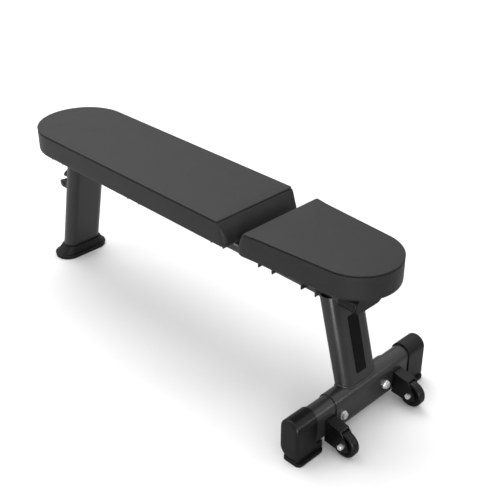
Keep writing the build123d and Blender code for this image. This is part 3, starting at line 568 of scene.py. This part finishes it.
@dataclass(frozen=True)
class PlywoodFinish(Finish):
    """Plywood: long rings of grain, pores drawn out along it, and a dull dry surface."""

    ring_colour: Colour = (0.22, 0.12, 0.055, 1.0)
    ring_depth: float = 0.00015
    reflectance: float = field(default=0.35, kw_only=True)

    def add_detail(self, surface: Surface, effects: Effects) -> None:
        """Add the rings and the pores."""
        drawn = surface.stretch(surface.place, (1.2, 14.0, 14.0))
        rings = surface.remap(surface.noise(drawn, 5.0, 6.0, 0.6), 0.4, 0.62, 0.0, 0.8)
        fine = surface.noise(surface.stretch(surface.place, (8.0, 160.0, 160.0)), 6.0, 3.0)
        pores = surface.remap(fine, 0.55, 0.7, 0.0, 0.6)
        surface.repaint(surface.math("MAXIMUM", rings, pores), self.ring_colour)
        surface.emboss(surface.math("ADD", rings, pores), self.ring_depth)


class Slot(Enum):
    """The record's material slots."""

    COAT = "powder_coat"
    LEATHER = "leatherette"
    PLASTIC = "black_plastic"
    RUBBER = "black_rubber"
    STEEL = "bright_steel"
    TYRE = "wheel_tyre"
    PLYWOOD = "plywood"
    BRONZE = "bronze"
    PLATE = "plate_black"


def make_finishes() -> dict[Slot, Finish]:
    """The bench's finish for each slot."""
    bright, dull = grey(0.9, 0.01), grey(0.76, 0.01)
    birch, birch_patch = (0.40, 0.26, 0.14, 1.0), (0.46, 0.31, 0.17, 1.0)
    bronze, bronze_patch = (0.42, 0.26, 0.11, 1.0), (0.34, 0.2, 0.09, 1.0)
    return {
        Slot.COAT: CoatFinish("satin black coat", grey(0.016), grey(0.021), 0.27, 0.36),
        Slot.LEATHER: LeatherFinish("black artificial leather", grey(0.011), grey(0.015), 0.42, 0.50, 6.0),
        Slot.PLASTIC: MouldedFinish("black moulded plastic", grey(0.003), grey(0.0045), 0.26, 0.36, 18.0),
        Slot.RUBBER: MouldedFinish("black rubber", grey(0.004), grey(0.007), 0.5, 0.64, 22.0, 0.00009, 700.0),
        Slot.STEEL: MetalFinish("bright zinc steel", bright, dull, 0.2, 0.32, 60.0, metallic=0.6),
        Slot.TYRE: MouldedFinish("wheel rubber", grey(0.003), grey(0.006), 0.24, 0.4, 30.0, 0.00008, 800.0),
        Slot.PLYWOOD: PlywoodFinish("plain plywood", birch, birch_patch, 0.62, 0.75),
        Slot.BRONZE: MetalFinish("sintered bronze", bronze, bronze_patch, 0.38, 0.5, 80.0),
        Slot.PLATE: CoatFinish(
            "gloss black plate", grey(0.001), grey(0.002), 0.16, 0.24, 14.0, 0.00002, 300.0,
            skin=0.0, reflectance=0.12,
        ),
    }


class Paintbox:
    """The finished materials, one per slot, and the ways to put them on."""

    def __init__(self) -> None:
        """Build the effects and one material for each slot."""
        effects = Effects()
        self.materials = {slot: finish.build(effects) for slot, finish in make_finishes().items()}

    def dress_nodes(self) -> None:
        """Give every node of the frame the material of the slot that its record names."""
        for part in frame["record"]["subparts"]:
            obj = frame["nodes"][part["node"]]
            material = self.materials[Slot(part["material_slot"])]
            for place in obj.material_slots:
                place.material = material

    def dress(self, obj: Object, slot: Slot, body: str, *nodes: str) -> Object:
        """Finish a new piece: its material, its slot, its body and the nodes it stands for.

        Args:
            obj: The piece.
            slot: The finish it takes.
            body: The body it rides on.
            nodes: Nodes of the frame that it replaces.

        Returns:
            The same piece.
        """
        obj.data.materials.clear()
        obj.data.materials.append(self.materials[slot])
        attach(obj, body)
        if nodes:
            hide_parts(*nodes)
        LOG.info("%s rides on %s, %d faces", obj.name, body, len(obj.data.polygons))
        return obj


# ---- studio
@dataclass
class Studio:
    """The floor, the lights and the camera."""

    camera_place: Point = (1.569, -1.388, 1.475)
    camera_turn: Point = (59.46, 0.0, 45.13)
    lens: float = 65.17
    floor_half: float = 14.0
    floor_rows: int = 41
    floor_dip: float = 0.0001
    floor_gloss: float = 0.1
    world_strength: float = 1.1
    wall_level: float = 0.12
    backdrop: float = 0.94
    back_bounce: float = 0.52
    front_bounce: float = 0.3

    def build(self) -> None:
        """Build all of it."""
        self.add_floor()
        self.add_world()
        self.add_camera()
        self.add_softbox("overhead", (-1.8, 0.8, 4.6), (0.0, 0.0, 0.3), 3.4, 125.0)
        self.add_softbox("side", (-3.0, -3.4, 1.3), (0.0, 0.0, 0.3), 0.8, 36.0)
        self.add_softbox("front", (4.4, 2.2, 1.6), (0.4, 0.0, 0.2), 0.7, 20.0)
        self.add_softbox("corner", (2.0, -1.9, 0.14), (0.45, 0.0, 0.2), 0.5, 40.0)
        scene = bpy.context.scene
        scene.view_settings.view_transform = "Standard"
        LOG.info("studio built")

    def add_floor(self) -> None:
        """A wide pale floor that dips by less than a tenth of a millimetre towards its edges.

        It is white to look at, and throws less light back up at the bench, least in front, as dark
        cards laid round a glossy black object do.
        """
        side = np.linspace(-self.floor_half, self.floor_half, self.floor_rows)
        x, y = np.meshgrid(side, side, indexing="ij")
        z = -self.floor_dip * (x * x + y * y) / self.floor_half**2
        faces = grid_faces(self.floor_rows, self.floor_rows, wrap_columns=False)
        floor = make_object("studio_floor", np.stack([x, y, z], -1), faces)
        wires = Surface("pale floor", self.floor_gloss)
        cloud = wires.noise(wires.place, 1.5, 2.0)
        seen = wires.blend(cloud, grey(0.93), grey(0.91))
        along = wires.node("ShaderNodeSeparateXYZ", {0: wires.place}).outputs["X"]
        front = wires.remap(along, 0.0, 1.1, 0.0, 1.0)
        bounced = wires.blend(front, grey(self.back_bounce), grey(self.front_bounce))
        direct = wires.node("ShaderNodeLightPath").outputs["Is Camera Ray"]
        tint = wires.blend(direct, bounced, seen)
        wires.feed(wires.shader, {"Base Color": tint, "Roughness": 0.9})
        floor.data.materials.append(wires.material)

    def add_world(self) -> None:
        """A white sky that lights the bench less towards eye level, as a studio's walls do."""
        world = bpy.data.worlds.new("studio surround")
        world.use_nodes = True
        wires = Wires(world.node_tree)
        background = world.node_tree.nodes["Background"]
        direction = wires.node("ShaderNodeTexCoord").outputs["Generated"]
        height = wires.node("ShaderNodeSeparateXYZ", {0: direction}).outputs["Z"]
        level = wires.remap(height, 0.05, 0.75, self.wall_level, self.world_strength)
        direct = wires.node("ShaderNodeLightPath").outputs["Is Camera Ray"]
        strength = wires.node("ShaderNodeMix", {0: direct, 2: level, 3: self.backdrop})
        wires.feed(background, {"Strength": strength.outputs[0], "Color": grey(1.0)})
        bpy.context.scene.world = world

    def add_camera(self) -> None:
        """The camera, looking down over the seat's left front corner."""
        data = bpy.data.cameras.new("camera")
        data.lens = self.lens
        data.sensor_width = 36.0
        data.clip_end = 60.0
        camera = bpy.data.objects.new("camera", data)
        camera.location = self.camera_place
        camera.rotation_euler = [math.radians(angle) for angle in self.camera_turn]
        bpy.context.scene.collection.objects.link(camera)
        bpy.context.scene.camera = camera

    def add_softbox(self, name: str, place: Point, target: Point, size: float, power: float) -> None:
        """Hang a square light that faces a point.

        Args:
            name: Name of the light.
            place: Where it hangs.
            target: The point that it faces.
            size: Length of its side.
            power: Its power in watts.
        """
        data = bpy.data.lights.new(name, "AREA")
        data.shape = "SQUARE"
        data.size = size
        data.energy = power
        light = bpy.data.objects.new(name, data)
        light.location = place
        to_target = Vector(target) - Vector(place)
        light.rotation_euler = to_target.to_track_quat("-Z", "Y").to_euler()
        bpy.context.scene.collection.objects.link(light)


# ---- pads
@dataclass
class Pad:
    """An upholstered pad: a flat top panel sewn to a side band, wrapped over a board.

    It is laid out with its square end towards +X; the seat's is mirrored afterwards.
    """

    name: str
    round_centre: float
    round_radius: float
    half_width: float
    mirror_about: float | None = None
    end_x: float = 0.222
    top: float = 0.454
    bottom: float = 0.386
    top_corner: float = 0.004
    side_corner: float = 0.016
    set_back_top: float = 0.029
    set_back_low: float = 0.013
    step: float = 0.005
    crown: float = 0.0022
    lower_edge: float = 0.008
    slope_reach: float = 0.075
    pucker_depth: float = 0.00022
    sag_depth: float = 0.0004
    board_lift: float = 0.012
    seam_top: float = 0.0043
    seam_low: float = 0.0080
    middle_reach: float = 0.14
    swell_cap: float = 0.0035
    swell_frames: int = 20
    pocket: Point = (0.170, 0.046, 0.405)

    def outline(self, corner: float) -> np.ndarray:
        """The plan outline: round end, straight side, rounded corner, square end, and its mirror image.

        Every stretch has its own fixed number of points, so outlines of different corners can be mixed.

        Args:
            corner: Radius of the two corners of the square end.

        Returns:
            Closed outline points (x, y), from the round end's tip along +Y and back along -Y.
        """
        centre, radius = self.round_centre, self.round_radius
        reach = math.hypot(self.end_x - centre, self.half_width)
        angle = math.atan2(self.half_width, self.end_x - centre) + math.acos(radius / reach)
        turn = np.linspace(math.pi, angle, 1 + int(radius * (math.pi - angle) / self.step))
        arc = np.stack([centre + radius * np.cos(turn), radius * np.sin(turn)], -1)
        tip = np.array([self.end_x, self.half_width])
        back = (arc[-1] - tip) / np.linalg.norm(arc[-1] - tip)
        opening = math.acos(float(-back[1]))
        across = back + [0.0, -1.0]
        middle = tip + across / np.linalg.norm(across) * corner / math.sin(opening / 2)
        sweep = np.linspace(math.atan2(-back[0], back[1]), 0.0, 13)
        bend = middle + corner * np.stack([np.cos(sweep), np.sin(sweep)], -1)
        side = self.run(arc[-1], bend[0], self.end_x - centre)
        end = self.run(bend[-1], np.array([self.end_x, 0.0]), self.half_width)
        half = np.concatenate([arc, side[1:-1], bend, end[1:]])
        return np.concatenate([half, half[-2:0:-1] * [1, -1]])

    def near_end(self, x: np.ndarray) -> np.ndarray:
        """How much a point belongs to the square end: 1 at the end, fading to 0 along the pad."""
        return smooth_step((x - (self.end_x - self.slope_reach)) / self.slope_reach)

    def run(self, first: np.ndarray, last: np.ndarray, length: float) -> np.ndarray:
        """Even points from one place to another, as many as a length asks for."""
        return first + np.linspace(0, 1, 1 + int(length / self.step))[:, None] * (last - first)

    def set_back(self, z: np.ndarray) -> np.ndarray:
        """How far the square end stands back at a height: a slow slope above the bulge, a small arc below.

        Args:
            z: Heights.

        Returns:
            Distances from the furthest point of the end.
        """
        bulge = self.bottom + self.set_back_low
        rise = np.clip((z - bulge) / (self.top - bulge), 0, 1)
        fall = np.clip((bulge - z) / self.set_back_low, 0, 1)
        return self.set_back_top * rise**1.55 + self.set_back_low * (1 - np.sqrt(1 - fall * fall))

    def profile(self) -> tuple[np.ndarray, np.ndarray]:
        """The side's section, from the board's rim out, round the lower edge, up to the seam and over.

        Returns:
            Inset from the outline and height of each ring.
        """
        low, high = np.array([0.0, self.bottom]), np.array([0.0, self.top])
        under = low + MM * np.array([(10.0, 12.0), (10.0, 6.0), (10.2, 0.6), (9.2, 0.0)])
        turn = quarter(6)
        curl = low + self.lower_edge * np.stack([1 - np.sin(turn), 1 - np.cos(turn)], -1)
        rise = np.linspace(self.bottom + 0.013, self.top - 0.012, 9)
        side = np.stack([np.zeros(9), rise], -1)
        seam = high + MM * np.array([(0.0, -7.6), (0.0, -6.4), (0.4, -5.6), (2.8, -5.1), (3.0, -4.3)])
        lip = high + MM * np.array([(2.8, -3.4), (0.3, -2.9), (-0.4, -2.0), (-0.2, -1.0)])
        edge = high + MM * np.array([(0.4, -0.2), (1.6, 0.0)])
        rows = np.concatenate([under, curl, side, seam, lip, edge])
        return rows[:, 0], rows[:, 1]

    def draw_in(self) -> np.ndarray:
        """How far the rings of the top panel are drawn in, from just inside the rim to the middle line."""
        return np.concatenate([[0.012], np.linspace(0.04, 0.2, 5), np.linspace(0.28, 1.0, 10)])

    def rings(self) -> np.ndarray:
        """All rings of the closed cover: the capped underside, the side and the crowned top panel.

        Returns:
            Array of rings, points and coordinates.
        """
        sharp, round_plan = self.outline(self.top_corner), self.outline(self.side_corner)
        inset, height = self.profile()
        softness = 1 - smooth_step((height - self.bottom - 0.03) / (self.top - 0.004 - self.bottom - 0.03))
        plan = sharp[None] + softness[:, None, None] * (round_plan - sharp)[None]
        outward = outward_of(unit(np.roll(round_plan, -1, 0) - np.roll(round_plan, 1, 0)))
        level = plan - inset[:, None, None] * outward[None]
        level[..., 0] -= self.set_back(height)[:, None] * self.near_end(level[..., 0])
        side = np.concatenate([level, np.broadcast_to(height[:, None, None], (*level.shape[:2], 1))], -1)
        middle_x = np.clip(round_plan[:, 0], self.round_centre, self.end_x - self.middle_reach)
        middle = np.stack([middle_x, np.zeros(len(middle_x))], -1)
        drawn = self.draw_in()[:, None, None]
        top_plan = side[-1, :, :2] * (1 - drawn) + middle * drawn
        lift = self.crown * (1 - (1 - drawn) ** 2.4)
        top = np.concatenate([top_plan, np.broadcast_to(self.top + lift, (*top_plan.shape[:2], 1))], -1)
        floor_drawn = np.array([1.0, 0.6, 0.25])[:, None, None]
        floor_plan = side[0, :, :2] * (1 - floor_drawn) + middle * floor_drawn
        floor_z = np.full((*floor_plan.shape[:2], 1), self.bottom + self.board_lift)
        floor = np.concatenate([floor_plan, floor_z], -1)
        return np.concatenate([floor, side, top])

    def swell(self, obj: Object) -> None:
        """Blow the cover up a little as cloth, held at its seam and under its board.

        The way that each point may go is capped, so that the pad stays its size.

        Args:
            obj: The cover, whose mesh takes the result.
        """
        rest = read_points(obj.data)
        hair = 0.01 * MM
        at_seam = (rest[:, 2] > self.top - self.seam_low) & (rest[:, 2] < self.top + hair)
        below = rest[:, 2] < self.bottom + self.board_lift + 0.5 * MM
        held = np.flatnonzero(at_seam | below)
        group = obj.vertex_groups.new(name="held")
        group.add(held.tolist(), 1.0, "REPLACE")
        cloth = obj.modifiers.new("cloth", "CLOTH")
        for key, value in CLOTH_SETTINGS.items():
            setattr(cloth.settings, key, value)
        cloth.settings.effector_weights.gravity = 0.0
        scene = bpy.context.scene
        scene.frame_start, scene.frame_end = 1, self.swell_frames
        cloth.point_cache.frame_start, cloth.point_cache.frame_end = 1, self.swell_frames
        for number in range(1, self.swell_frames + 1):
            scene.frame_set(number)
        bake_modifiers(obj)
        move = read_points(obj.data) - rest
        scene.frame_set(1)
        size = np.linalg.norm(move, axis=1, keepdims=True)
        capped = move * np.tanh(size / self.swell_cap) * self.swell_cap / np.maximum(size, 1e-9)
        write_points(obj.data, rest + capped)
        obj.vertex_groups.clear()
        LOG.info("%s swelled by up to %.1f mm", obj.name, float(np.abs(capped).max() / MM))

    def pucker(self, obj: Object) -> None:
        """Gather the leather beside the seam: short shallow waves that fade away from it.

        Args:
            obj: The cover.
        """
        place, normal = read_points(obj.data), read_points(obj.data, "normal")
        seam_z = self.top - self.seam_top
        away = np.abs(place[:, 2] - seam_z)
        fade = np.exp(-((away / 0.008) ** 2)) * (place[:, 2] < seam_z)
        angle = np.arctan2(place[:, 1], place[:, 0] - self.round_centre)
        along = place[:, 0] + place[:, 1] * 0.9 + angle * self.round_radius * 0.6
        wave = np.sin(along * 560 + 3 * np.sin(along * 37)) * np.sin(along * 91 + 1.3)
        slow = np.sin(along * 23 + 0.7) * np.sin(along * 11)
        slow *= smooth_step((self.top - 0.010 - place[:, 2]) / 0.012)
        slow *= smooth_step((place[:, 2] - self.bottom - 0.004) / 0.01)
        shift = self.pucker_depth * wave * fade + self.sag_depth * slow
        write_points(obj.data, place + normal * shift[:, None])

    def cut_pocket(self, obj: Object) -> None:
        """Cut the recess for the pivot out of the underside, open at the square end.

        Args:
            obj: The cover.
        """
        start, half, roof = self.pocket
        spans = [start, self.end_x + 0.03], [-half, half], [self.bottom - 0.02, roof]
        x, y, z = np.meshgrid(*spans, indexing="ij")
        corners = np.stack([x, y, z], -1).reshape(-1, 3)
        sides = [(0, 1, 3, 2), (4, 6, 7, 5), (0, 4, 5, 1), (2, 3, 7, 6), (0, 2, 6, 4), (1, 5, 7, 3)]
        cutter = make_object("pocket_cutter", corners, sides)
        modifier = obj.modifiers.new("pocket", "BOOLEAN")
        modifier.object = cutter
        modifier.operation = "DIFFERENCE"
        modifier.solver = "EXACT"
        bake_modifiers(obj)
        bpy.data.objects.remove(cutter)

    def build(self, paint: Paintbox) -> None:
        """Sew, swell and finish the cover, then dress it.

        Args:
            paint: The materials.
        """
        rings = self.rings()
        cover = make_object(f"{self.name}_cover", rings, grid_faces(rings.shape[0], rings.shape[1]))
        self.swell(cover)
        add_subdivision(cover, 1)
        bake_modifiers(cover)
        self.pucker(cover)
        self.cut_pocket(cover)
        if self.mirror_about is not None:
            self.flip(cover)
        cover.data.shade_smooth()
        paint.dress(cover, Slot.LEATHER, self.name, f"{self.name}_cushion")

    def flip(self, obj: Object) -> None:
        """Mirror the pad's mesh end to end, and turn its faces outwards again.

        Args:
            obj: The cover.
        """
        write_points(obj.data, self.mirror(read_points(obj.data)))
        obj.data.flip_normals()

    def mirror(self, points: np.ndarray) -> np.ndarray:
        """Points of the pad as laid out, turned end to end where the pad is mirrored."""
        if self.mirror_about is None:
            return points
        return points * [-1, 1, 1] + [2 * self.mirror_about, 0, 0]


# ---- turned and welded pieces
def turn_profile(name: str, profile: np.ndarray, centre: Point, steps: int,
                 lobes: int = 0, lobe_depth: float = 0.0) -> Object:
    """Turn a closed section about the Y axis, its radius swelling and shrinking with a cosine for lobes.

    Args:
        name: Name of the object.
        profile: Distance along the axis and radius of each point; the last point joins the first.
        centre: Where the axis and the section's zero meet.
        steps: Points round the axis.
        lobes: Number of lobes.
        lobe_depth: Share of the radius that a lobe adds and takes away.

    Returns:
        The turned surface.
    """
    turn = circle(steps)
    radius = profile[:, 1, None] * (1 + lobe_depth * (np.cos(lobes * turn) - 1))
    along = np.broadcast_to(profile[:, 0, None], radius.shape)
    place = np.stack([radius * np.cos(turn), along, radius * np.sin(turn)], -1)
    return make_object(name, place + np.array(centre), grid_faces(len(profile), steps, wrap_rows=True))


def rounded_band(half: float, outer: float, inner: float, shoulder: float) -> np.ndarray:
    """The section of a band: flat inside, and outside a tread with rounded shoulders.

    Args:
        half: Half of its width.
        outer: Radius of the tread.
        inner: Radius of the bore.
        shoulder: Radius of the shoulders.

    Returns:
        Section points (along, radius).
    """
    turn = quarter(7)
    corner = np.array([half - shoulder, outer - shoulder])
    right = corner + shoulder * np.stack([np.sin(turn), np.cos(turn)], -1)
    along = np.linspace(-half + shoulder, half - shoulder, 25)
    groove_at, groove_size = 0.0042, 0.0007
    groove = groove_size * np.exp(-(((np.abs(along) - groove_at) / groove_size) ** 2))
    tread = np.stack([along, outer - groove], -1)
    left = right[::-1] * [-1, 1]
    bore = np.array([[half - 0.001, inner], [-half + 0.001, inner]])
    return np.concatenate([tread, right[1:], bore, left[:-1]])


@dataclass
class TransportWheels:
    """The two wheels' tyres, with a shallow pair of grooves round the tread."""

    centre_x: float = 0.614
    centre_y: float = 0.127
    centre_z: float = 0.0345
    radius: float = 0.033
    bore: float = 0.021
    half_width: float = 0.011
    shoulder: float = 0.0045

    def build(self, paint: Paintbox) -> None:
        """Turn and dress both tyres."""
        section = rounded_band(self.half_width, self.radius, self.bore, self.shoulder)
        for side, sign in SIDES:
            place = (self.centre_x, sign * self.centre_y, self.centre_z)
            tyre = turn_profile(f"tyre_{side}", section, place, steps=96)
            paint.dress(tyre, Slot.TYRE, f"wheel_{side}", f"wheel_tyre_{side}")


@dataclass
class CarryHandle:
    """The ribbed rubber grip of the carry handle."""

    centre_z: float = 0.250
    radius: float = 0.011
    bore: float = 0.006
    rib_pitch: float = 0.0052
    rib_height: float = 0.0012
    ends: float = 0.0385
    end_taper: float = 0.003
    taper_reach: float = 0.0012

    def build(self, paint: Paintbox) -> None:
        """Turn the grip round the handle's rod."""
        low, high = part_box("carry_handle_grip")
        centre_x = (low.x + high.x) / 2
        along = np.linspace(-self.ends, self.ends, 181)
        wave = self.rib_height * np.cos(math.pi * along / self.rib_pitch) ** 2
        taper = self.end_taper * np.exp(-(self.ends - np.abs(along)) / self.taper_reach)
        skin = np.stack([along, self.radius - wave - taper], -1)
        bore = np.array([[self.ends, self.bore], [-self.ends, self.bore]])
        place = (centre_x, 0.0, self.centre_z)
        grip = turn_profile("ribbed_grip", np.concatenate([skin, bore]), place, steps=40)
        paint.dress(grip, Slot.RUBBER, "frame", "carry_handle_grip")


@dataclass
class PinKnobs:
    """The lobed knobs on the two pull pins."""

    length: float = 0.020
    radius: float = 0.013
    bore: float = 0.003
    bore_end: float = 0.014
    edge: float = 0.006
    lobes: int = 6
    lobe_depth: float = 0.045

    def build(self, paint: Paintbox) -> None:
        """Turn both knobs, each with six lobes."""
        turn = quarter(10)
        corner = np.array([self.length - self.edge, self.radius - self.edge])
        crown = corner + self.edge * np.stack([np.sin(turn), np.cos(turn)], -1)
        neck = [[0.0, self.bore], [0.0, 0.0085], [0.0012, 0.0105], [0.004, 0.0112], [0.006, self.radius]]
        face, pole = self.length + 0.0004, 0.0001
        top = [[face, 0.004], [face, pole], [self.bore_end, pole], [self.bore_end, self.bore]]
        section = np.concatenate([neck, crown, top])
        for pad in ("backrest", "seat"):
            low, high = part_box(f"{pad}_pin_knob")
            place = ((low.x + high.x) / 2, low.y, (low.z + high.z) / 2)
            knob = turn_profile(f"{pad}_knob", section, place, 72, self.lobes, self.lobe_depth)
            paint.dress(knob, Slot.PLASTIC, f"{pad}_pin", f"{pad}_pin_knob")


@dataclass
class WeldBeads:
    """Rippled weld beads where the legs meet the spine and where the front leg meets its saddle."""

    rear_leg: tuple[float, float] = (-0.551, 0.234)
    front_leg: tuple[float, float] = (0.508, -0.268)
    half_run: float = 0.0485
    spine_z: float = 0.339
    spine_half_flat: float = 0.030
    spine_radius: float = 0.020
    leg_half_depth: float = 0.025
    leg_half_wide: float = 0.060
    reference_z: float = 0.196
    bead: float = 0.0026
    ripple: float = 0.0005
    ripple_pitch: float = 0.0034

    def build(self, paint: Paintbox) -> None:
        """Lay every bead."""
        for leg, (at, slope) in (("rear_leg", self.rear_leg), ("front_leg", self.front_leg)):
            for face, sign in (("inner", 1), ("outer", -1)):
                path = self.across_spine(at, slope, sign)
                paint.dress(self.lay(f"{leg}_{face}_bead", path, False), Slot.COAT, "frame")
        saddle = self.round_saddle(*self.front_leg)
        paint.dress(self.lay("saddle_bead", saddle, True), Slot.COAT, "frame")

    def across_spine(self, at: float, slope: float, sign: int) -> np.ndarray:
        """The path of one leg face across the underside of the spine's flat-oval section.

        Args:
            at: The leg's middle line at the reference height.
            slope: How far the leg goes along for each unit of height.
            sign: Which face, +1 towards +X.

        Returns:
            Path points.
        """
        y = np.linspace(-self.half_run, self.half_run, 90)
        beyond = np.clip(np.abs(y) - self.spine_half_flat, 0, None)
        z = self.spine_z - np.sqrt(self.spine_radius**2 - beyond**2)
        wide = np.clip(np.abs(y) - (self.leg_half_wide - self.leg_half_depth), 0, None)
        depth = np.sqrt(self.leg_half_depth**2 - wide**2) * math.hypot(1, slope)
        x = at + slope * (z - self.reference_z) + sign * depth
        return np.stack([x, y, z], -1)

    def round_saddle(self, at: float, slope: float) -> np.ndarray:
        """The path of the front leg's flat-oval section on the saddle's rounded top.

        The height of each point is the larger root of the quadratic where its line meets the circle.

        Args:
            at: The leg's middle line at the reference height.
            slope: How far the leg goes along for each unit of height.

        Returns:
            Closed path points.
        """
        turn = circle(160)
        straight = self.leg_half_wide - self.leg_half_depth
        y = self.leg_half_depth * np.sin(turn) + straight * np.clip(np.sin(turn) * 3, -1, 1)
        across = self.leg_half_depth * np.cos(turn) * math.hypot(1, slope)
        low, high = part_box("crossbar_saddle")
        radius = (high.x - low.x) / 2
        mid_x, mid_z = (low.x + high.x) / 2, high.z - radius
        start = at - slope * self.reference_z + across - mid_x
        a, b = slope * slope + 1, 2 * (slope * start - mid_z)
        c = start * start + mid_z * mid_z - radius * radius
        z = (-b + np.sqrt(np.clip(b * b - 4 * a * c, 0, None))) / (2 * a)
        return resample(np.stack([start + mid_x + slope * z, y, z], -1), 161)[:-1]

    def lay(self, name: str, path: np.ndarray, closed: bool) -> Object:
        """A tube along a path, whose radius ripples as the weld pool does.

        Args:
            name: Name of the bead.
            path: Points of its middle line.
            closed: Whether it comes back to its start.

        Returns:
            The bead.
        """
        dense = resample(np.concatenate([path, path[:1]]) if closed else path, 241)
        dense = dense[:-1] if closed else dense
        step = np.linalg.norm(dense[1] - dense[0])
        run = np.arange(len(dense)) * step
        radius = self.bead + self.ripple * np.abs(np.sin(math.pi * run / self.ripple_pitch))
        return tube(name, dense, radius, 10, closed)


@dataclass
class EndCaps:
    """A raised panel with a soft edge on the end face of each crossbar cap."""

    inset: float = 0.0045
    rise: float = 0.0009
    count: int = 120

    def build(self, paint: Paintbox) -> None:
        """Build and dress both panels."""
        for side, sign in SIDES:
            low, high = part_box(f"end_cap_{side}")
            face_y = low.y if sign < 0 else high.y
            radius = (high.x - low.x) / 2 - self.inset
            half = (high.z - low.z) / 2 - self.inset - 0.003
            turn = circle(self.count)
            straight = half - radius
            inset = np.array([0.0, 0.0, 0.0004, 0.0012])
            wide = np.append(radius - inset, radius * 0.6)[:, None]
            tall = np.append(half - inset, half * 0.8)[:, None]
            rise = np.append(-0.0015, self.rise * np.array([0.4, 0.8, 1.0, 1.0]))[:, None]
            x = (low.x + high.x) / 2 + wide * np.cos(turn)
            upright = np.clip(np.sin(turn) * 4, -1, 1) * straight
            z = (low.z + high.z) / 2 + 0.001 + wide * np.sin(turn) + upright * (tall / half)
            y = np.broadcast_to(face_y + sign * rise, x.shape)
            panel = loft(f"cap_panel_{side}", np.stack([x, y, z], -1))
            paint.dress(panel, Slot.PLASTIC, "frame")


@dataclass
class RearBoot:
    """A soft bead round the foot of the rear boot."""

    bead_z: float = 0.0095
    bead_radius: float = 0.0024
    inset: float = 0.0005
    count: int = 240

    def build(self, paint: Paintbox) -> None:
        """Build and dress the bead: a tube along the foot's outline, two half rounds and two flats."""
        low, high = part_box("rear_boot")
        radius, half = (high.x - low.x) / 2, (high.y - low.y) / 2
        angle = circle(self.count)
        x = (low.x + high.x) / 2 + (radius - self.inset) * np.cos(angle)
        y = (radius - self.inset) * np.sin(angle) + np.clip(np.sin(angle) * 4, -1, 1) * (half - radius)
        outline = np.stack([x, y, np.full(self.count, self.bead_z)], -1)
        path = resample(np.concatenate([outline, outline[:1]]), self.count + 1)[:-1]
        rim = tube("boot_rim", path, np.full(self.count, self.bead_radius), 12, True)
        paint.dress(rim, Slot.RUBBER, "frame")


@dataclass
class Staples:
    """The wire staples that hold the wrapped cover to the board, in one piece for each pad."""

    spacing: float = 0.026
    inset: float = 0.0092
    pocket_gap: float = 0.01
    half_length: float = 0.0048
    wire: float = 0.0005

    def build(self, pad: Pad, paint: Paintbox) -> None:
        """Set the staples along the pad's underside, leaving out the pivot's recess.

        Args:
            pad: The pad that they hold.
            paint: The materials.
        """
        plan = pad.outline(pad.side_corner)
        plan[:, 0] -= pad.set_back_low * pad.near_end(plan[:, 0])
        closed = np.concatenate([plan, plan[:1]])
        length = np.linalg.norm(np.diff(closed, axis=0), axis=1).sum()
        count = int(length / self.spacing)
        places = resample(closed, count + 1)[:-1]
        nearby = resample(closed, 20 * count + 1)[1::20]
        tangent = unit(nearby - places)
        outward = outward_of(tangent)
        places = places - self.inset * outward
        beyond = places[:, 0] > pad.pocket[0] - self.pocket_gap
        clear = ~(beyond & (np.abs(places[:, 1]) < pad.pocket[1] + self.pocket_gap))
        places, tangent, outward = places[clear], tangent[clear], outward[clear]
        along = np.array([-1.0, -1.0, -0.94, 0.94, 1.0, 1.0]) * self.half_length
        deep = np.array([0.002, 0.0003, -0.0004, -0.0004, 0.0003, 0.002])
        around = circle(6)
        side, up = self.wire * np.cos(around), self.wire * np.sin(around)
        flat = places[:, None, None] + along[None, :, None, None] * tangent[:, None, None]
        flat = flat + side[None, None, :, None] * outward[:, None, None]
        height = pad.bottom + deep[None, :, None] + up[None, None, :]
        height = np.broadcast_to(height[..., None], (*flat.shape[:3], 1))
        vertices = pad.mirror(np.concatenate([flat, height], -1))
        one = grid_faces(6, 6)
        faces = (one[None] + 36 * np.arange(len(places))[:, None, None]).reshape(-1, 4)
        ends = np.concatenate([np.arange(6)[None], np.arange(30, 36)[None]])
        caps = (ends[None] + 36 * np.arange(len(places))[:, None, None]).reshape(-1, 6)
        staples = make_object(f"{pad.name}_staples", vertices, [*faces.tolist(), *caps.tolist()], 1e-6)
        paint.dress(staples, Slot.STEEL, pad.name)


def main() -> None:
    """Build the bench's looks in order."""
    logging.basicConfig(level=logging.INFO, format="%(name)s: %(message)s")
    Studio().build()
    paint = Paintbox()
    paint.dress_nodes()
    for piece in (TransportWheels(), CarryHandle(), PinKnobs(), WeldBeads(), EndCaps(), RearBoot()):
        piece.build(paint)
    backrest = Pad("backrest", -0.515, 0.130, 0.130)
    seat = Pad("seat", -0.040, 0.106, 0.1275, mirror_about=0.2365)
    for pad in (backrest, seat):
        pad.build(paint)
        Staples().build(pad, paint)


if __name__ == "__main__":
    main()
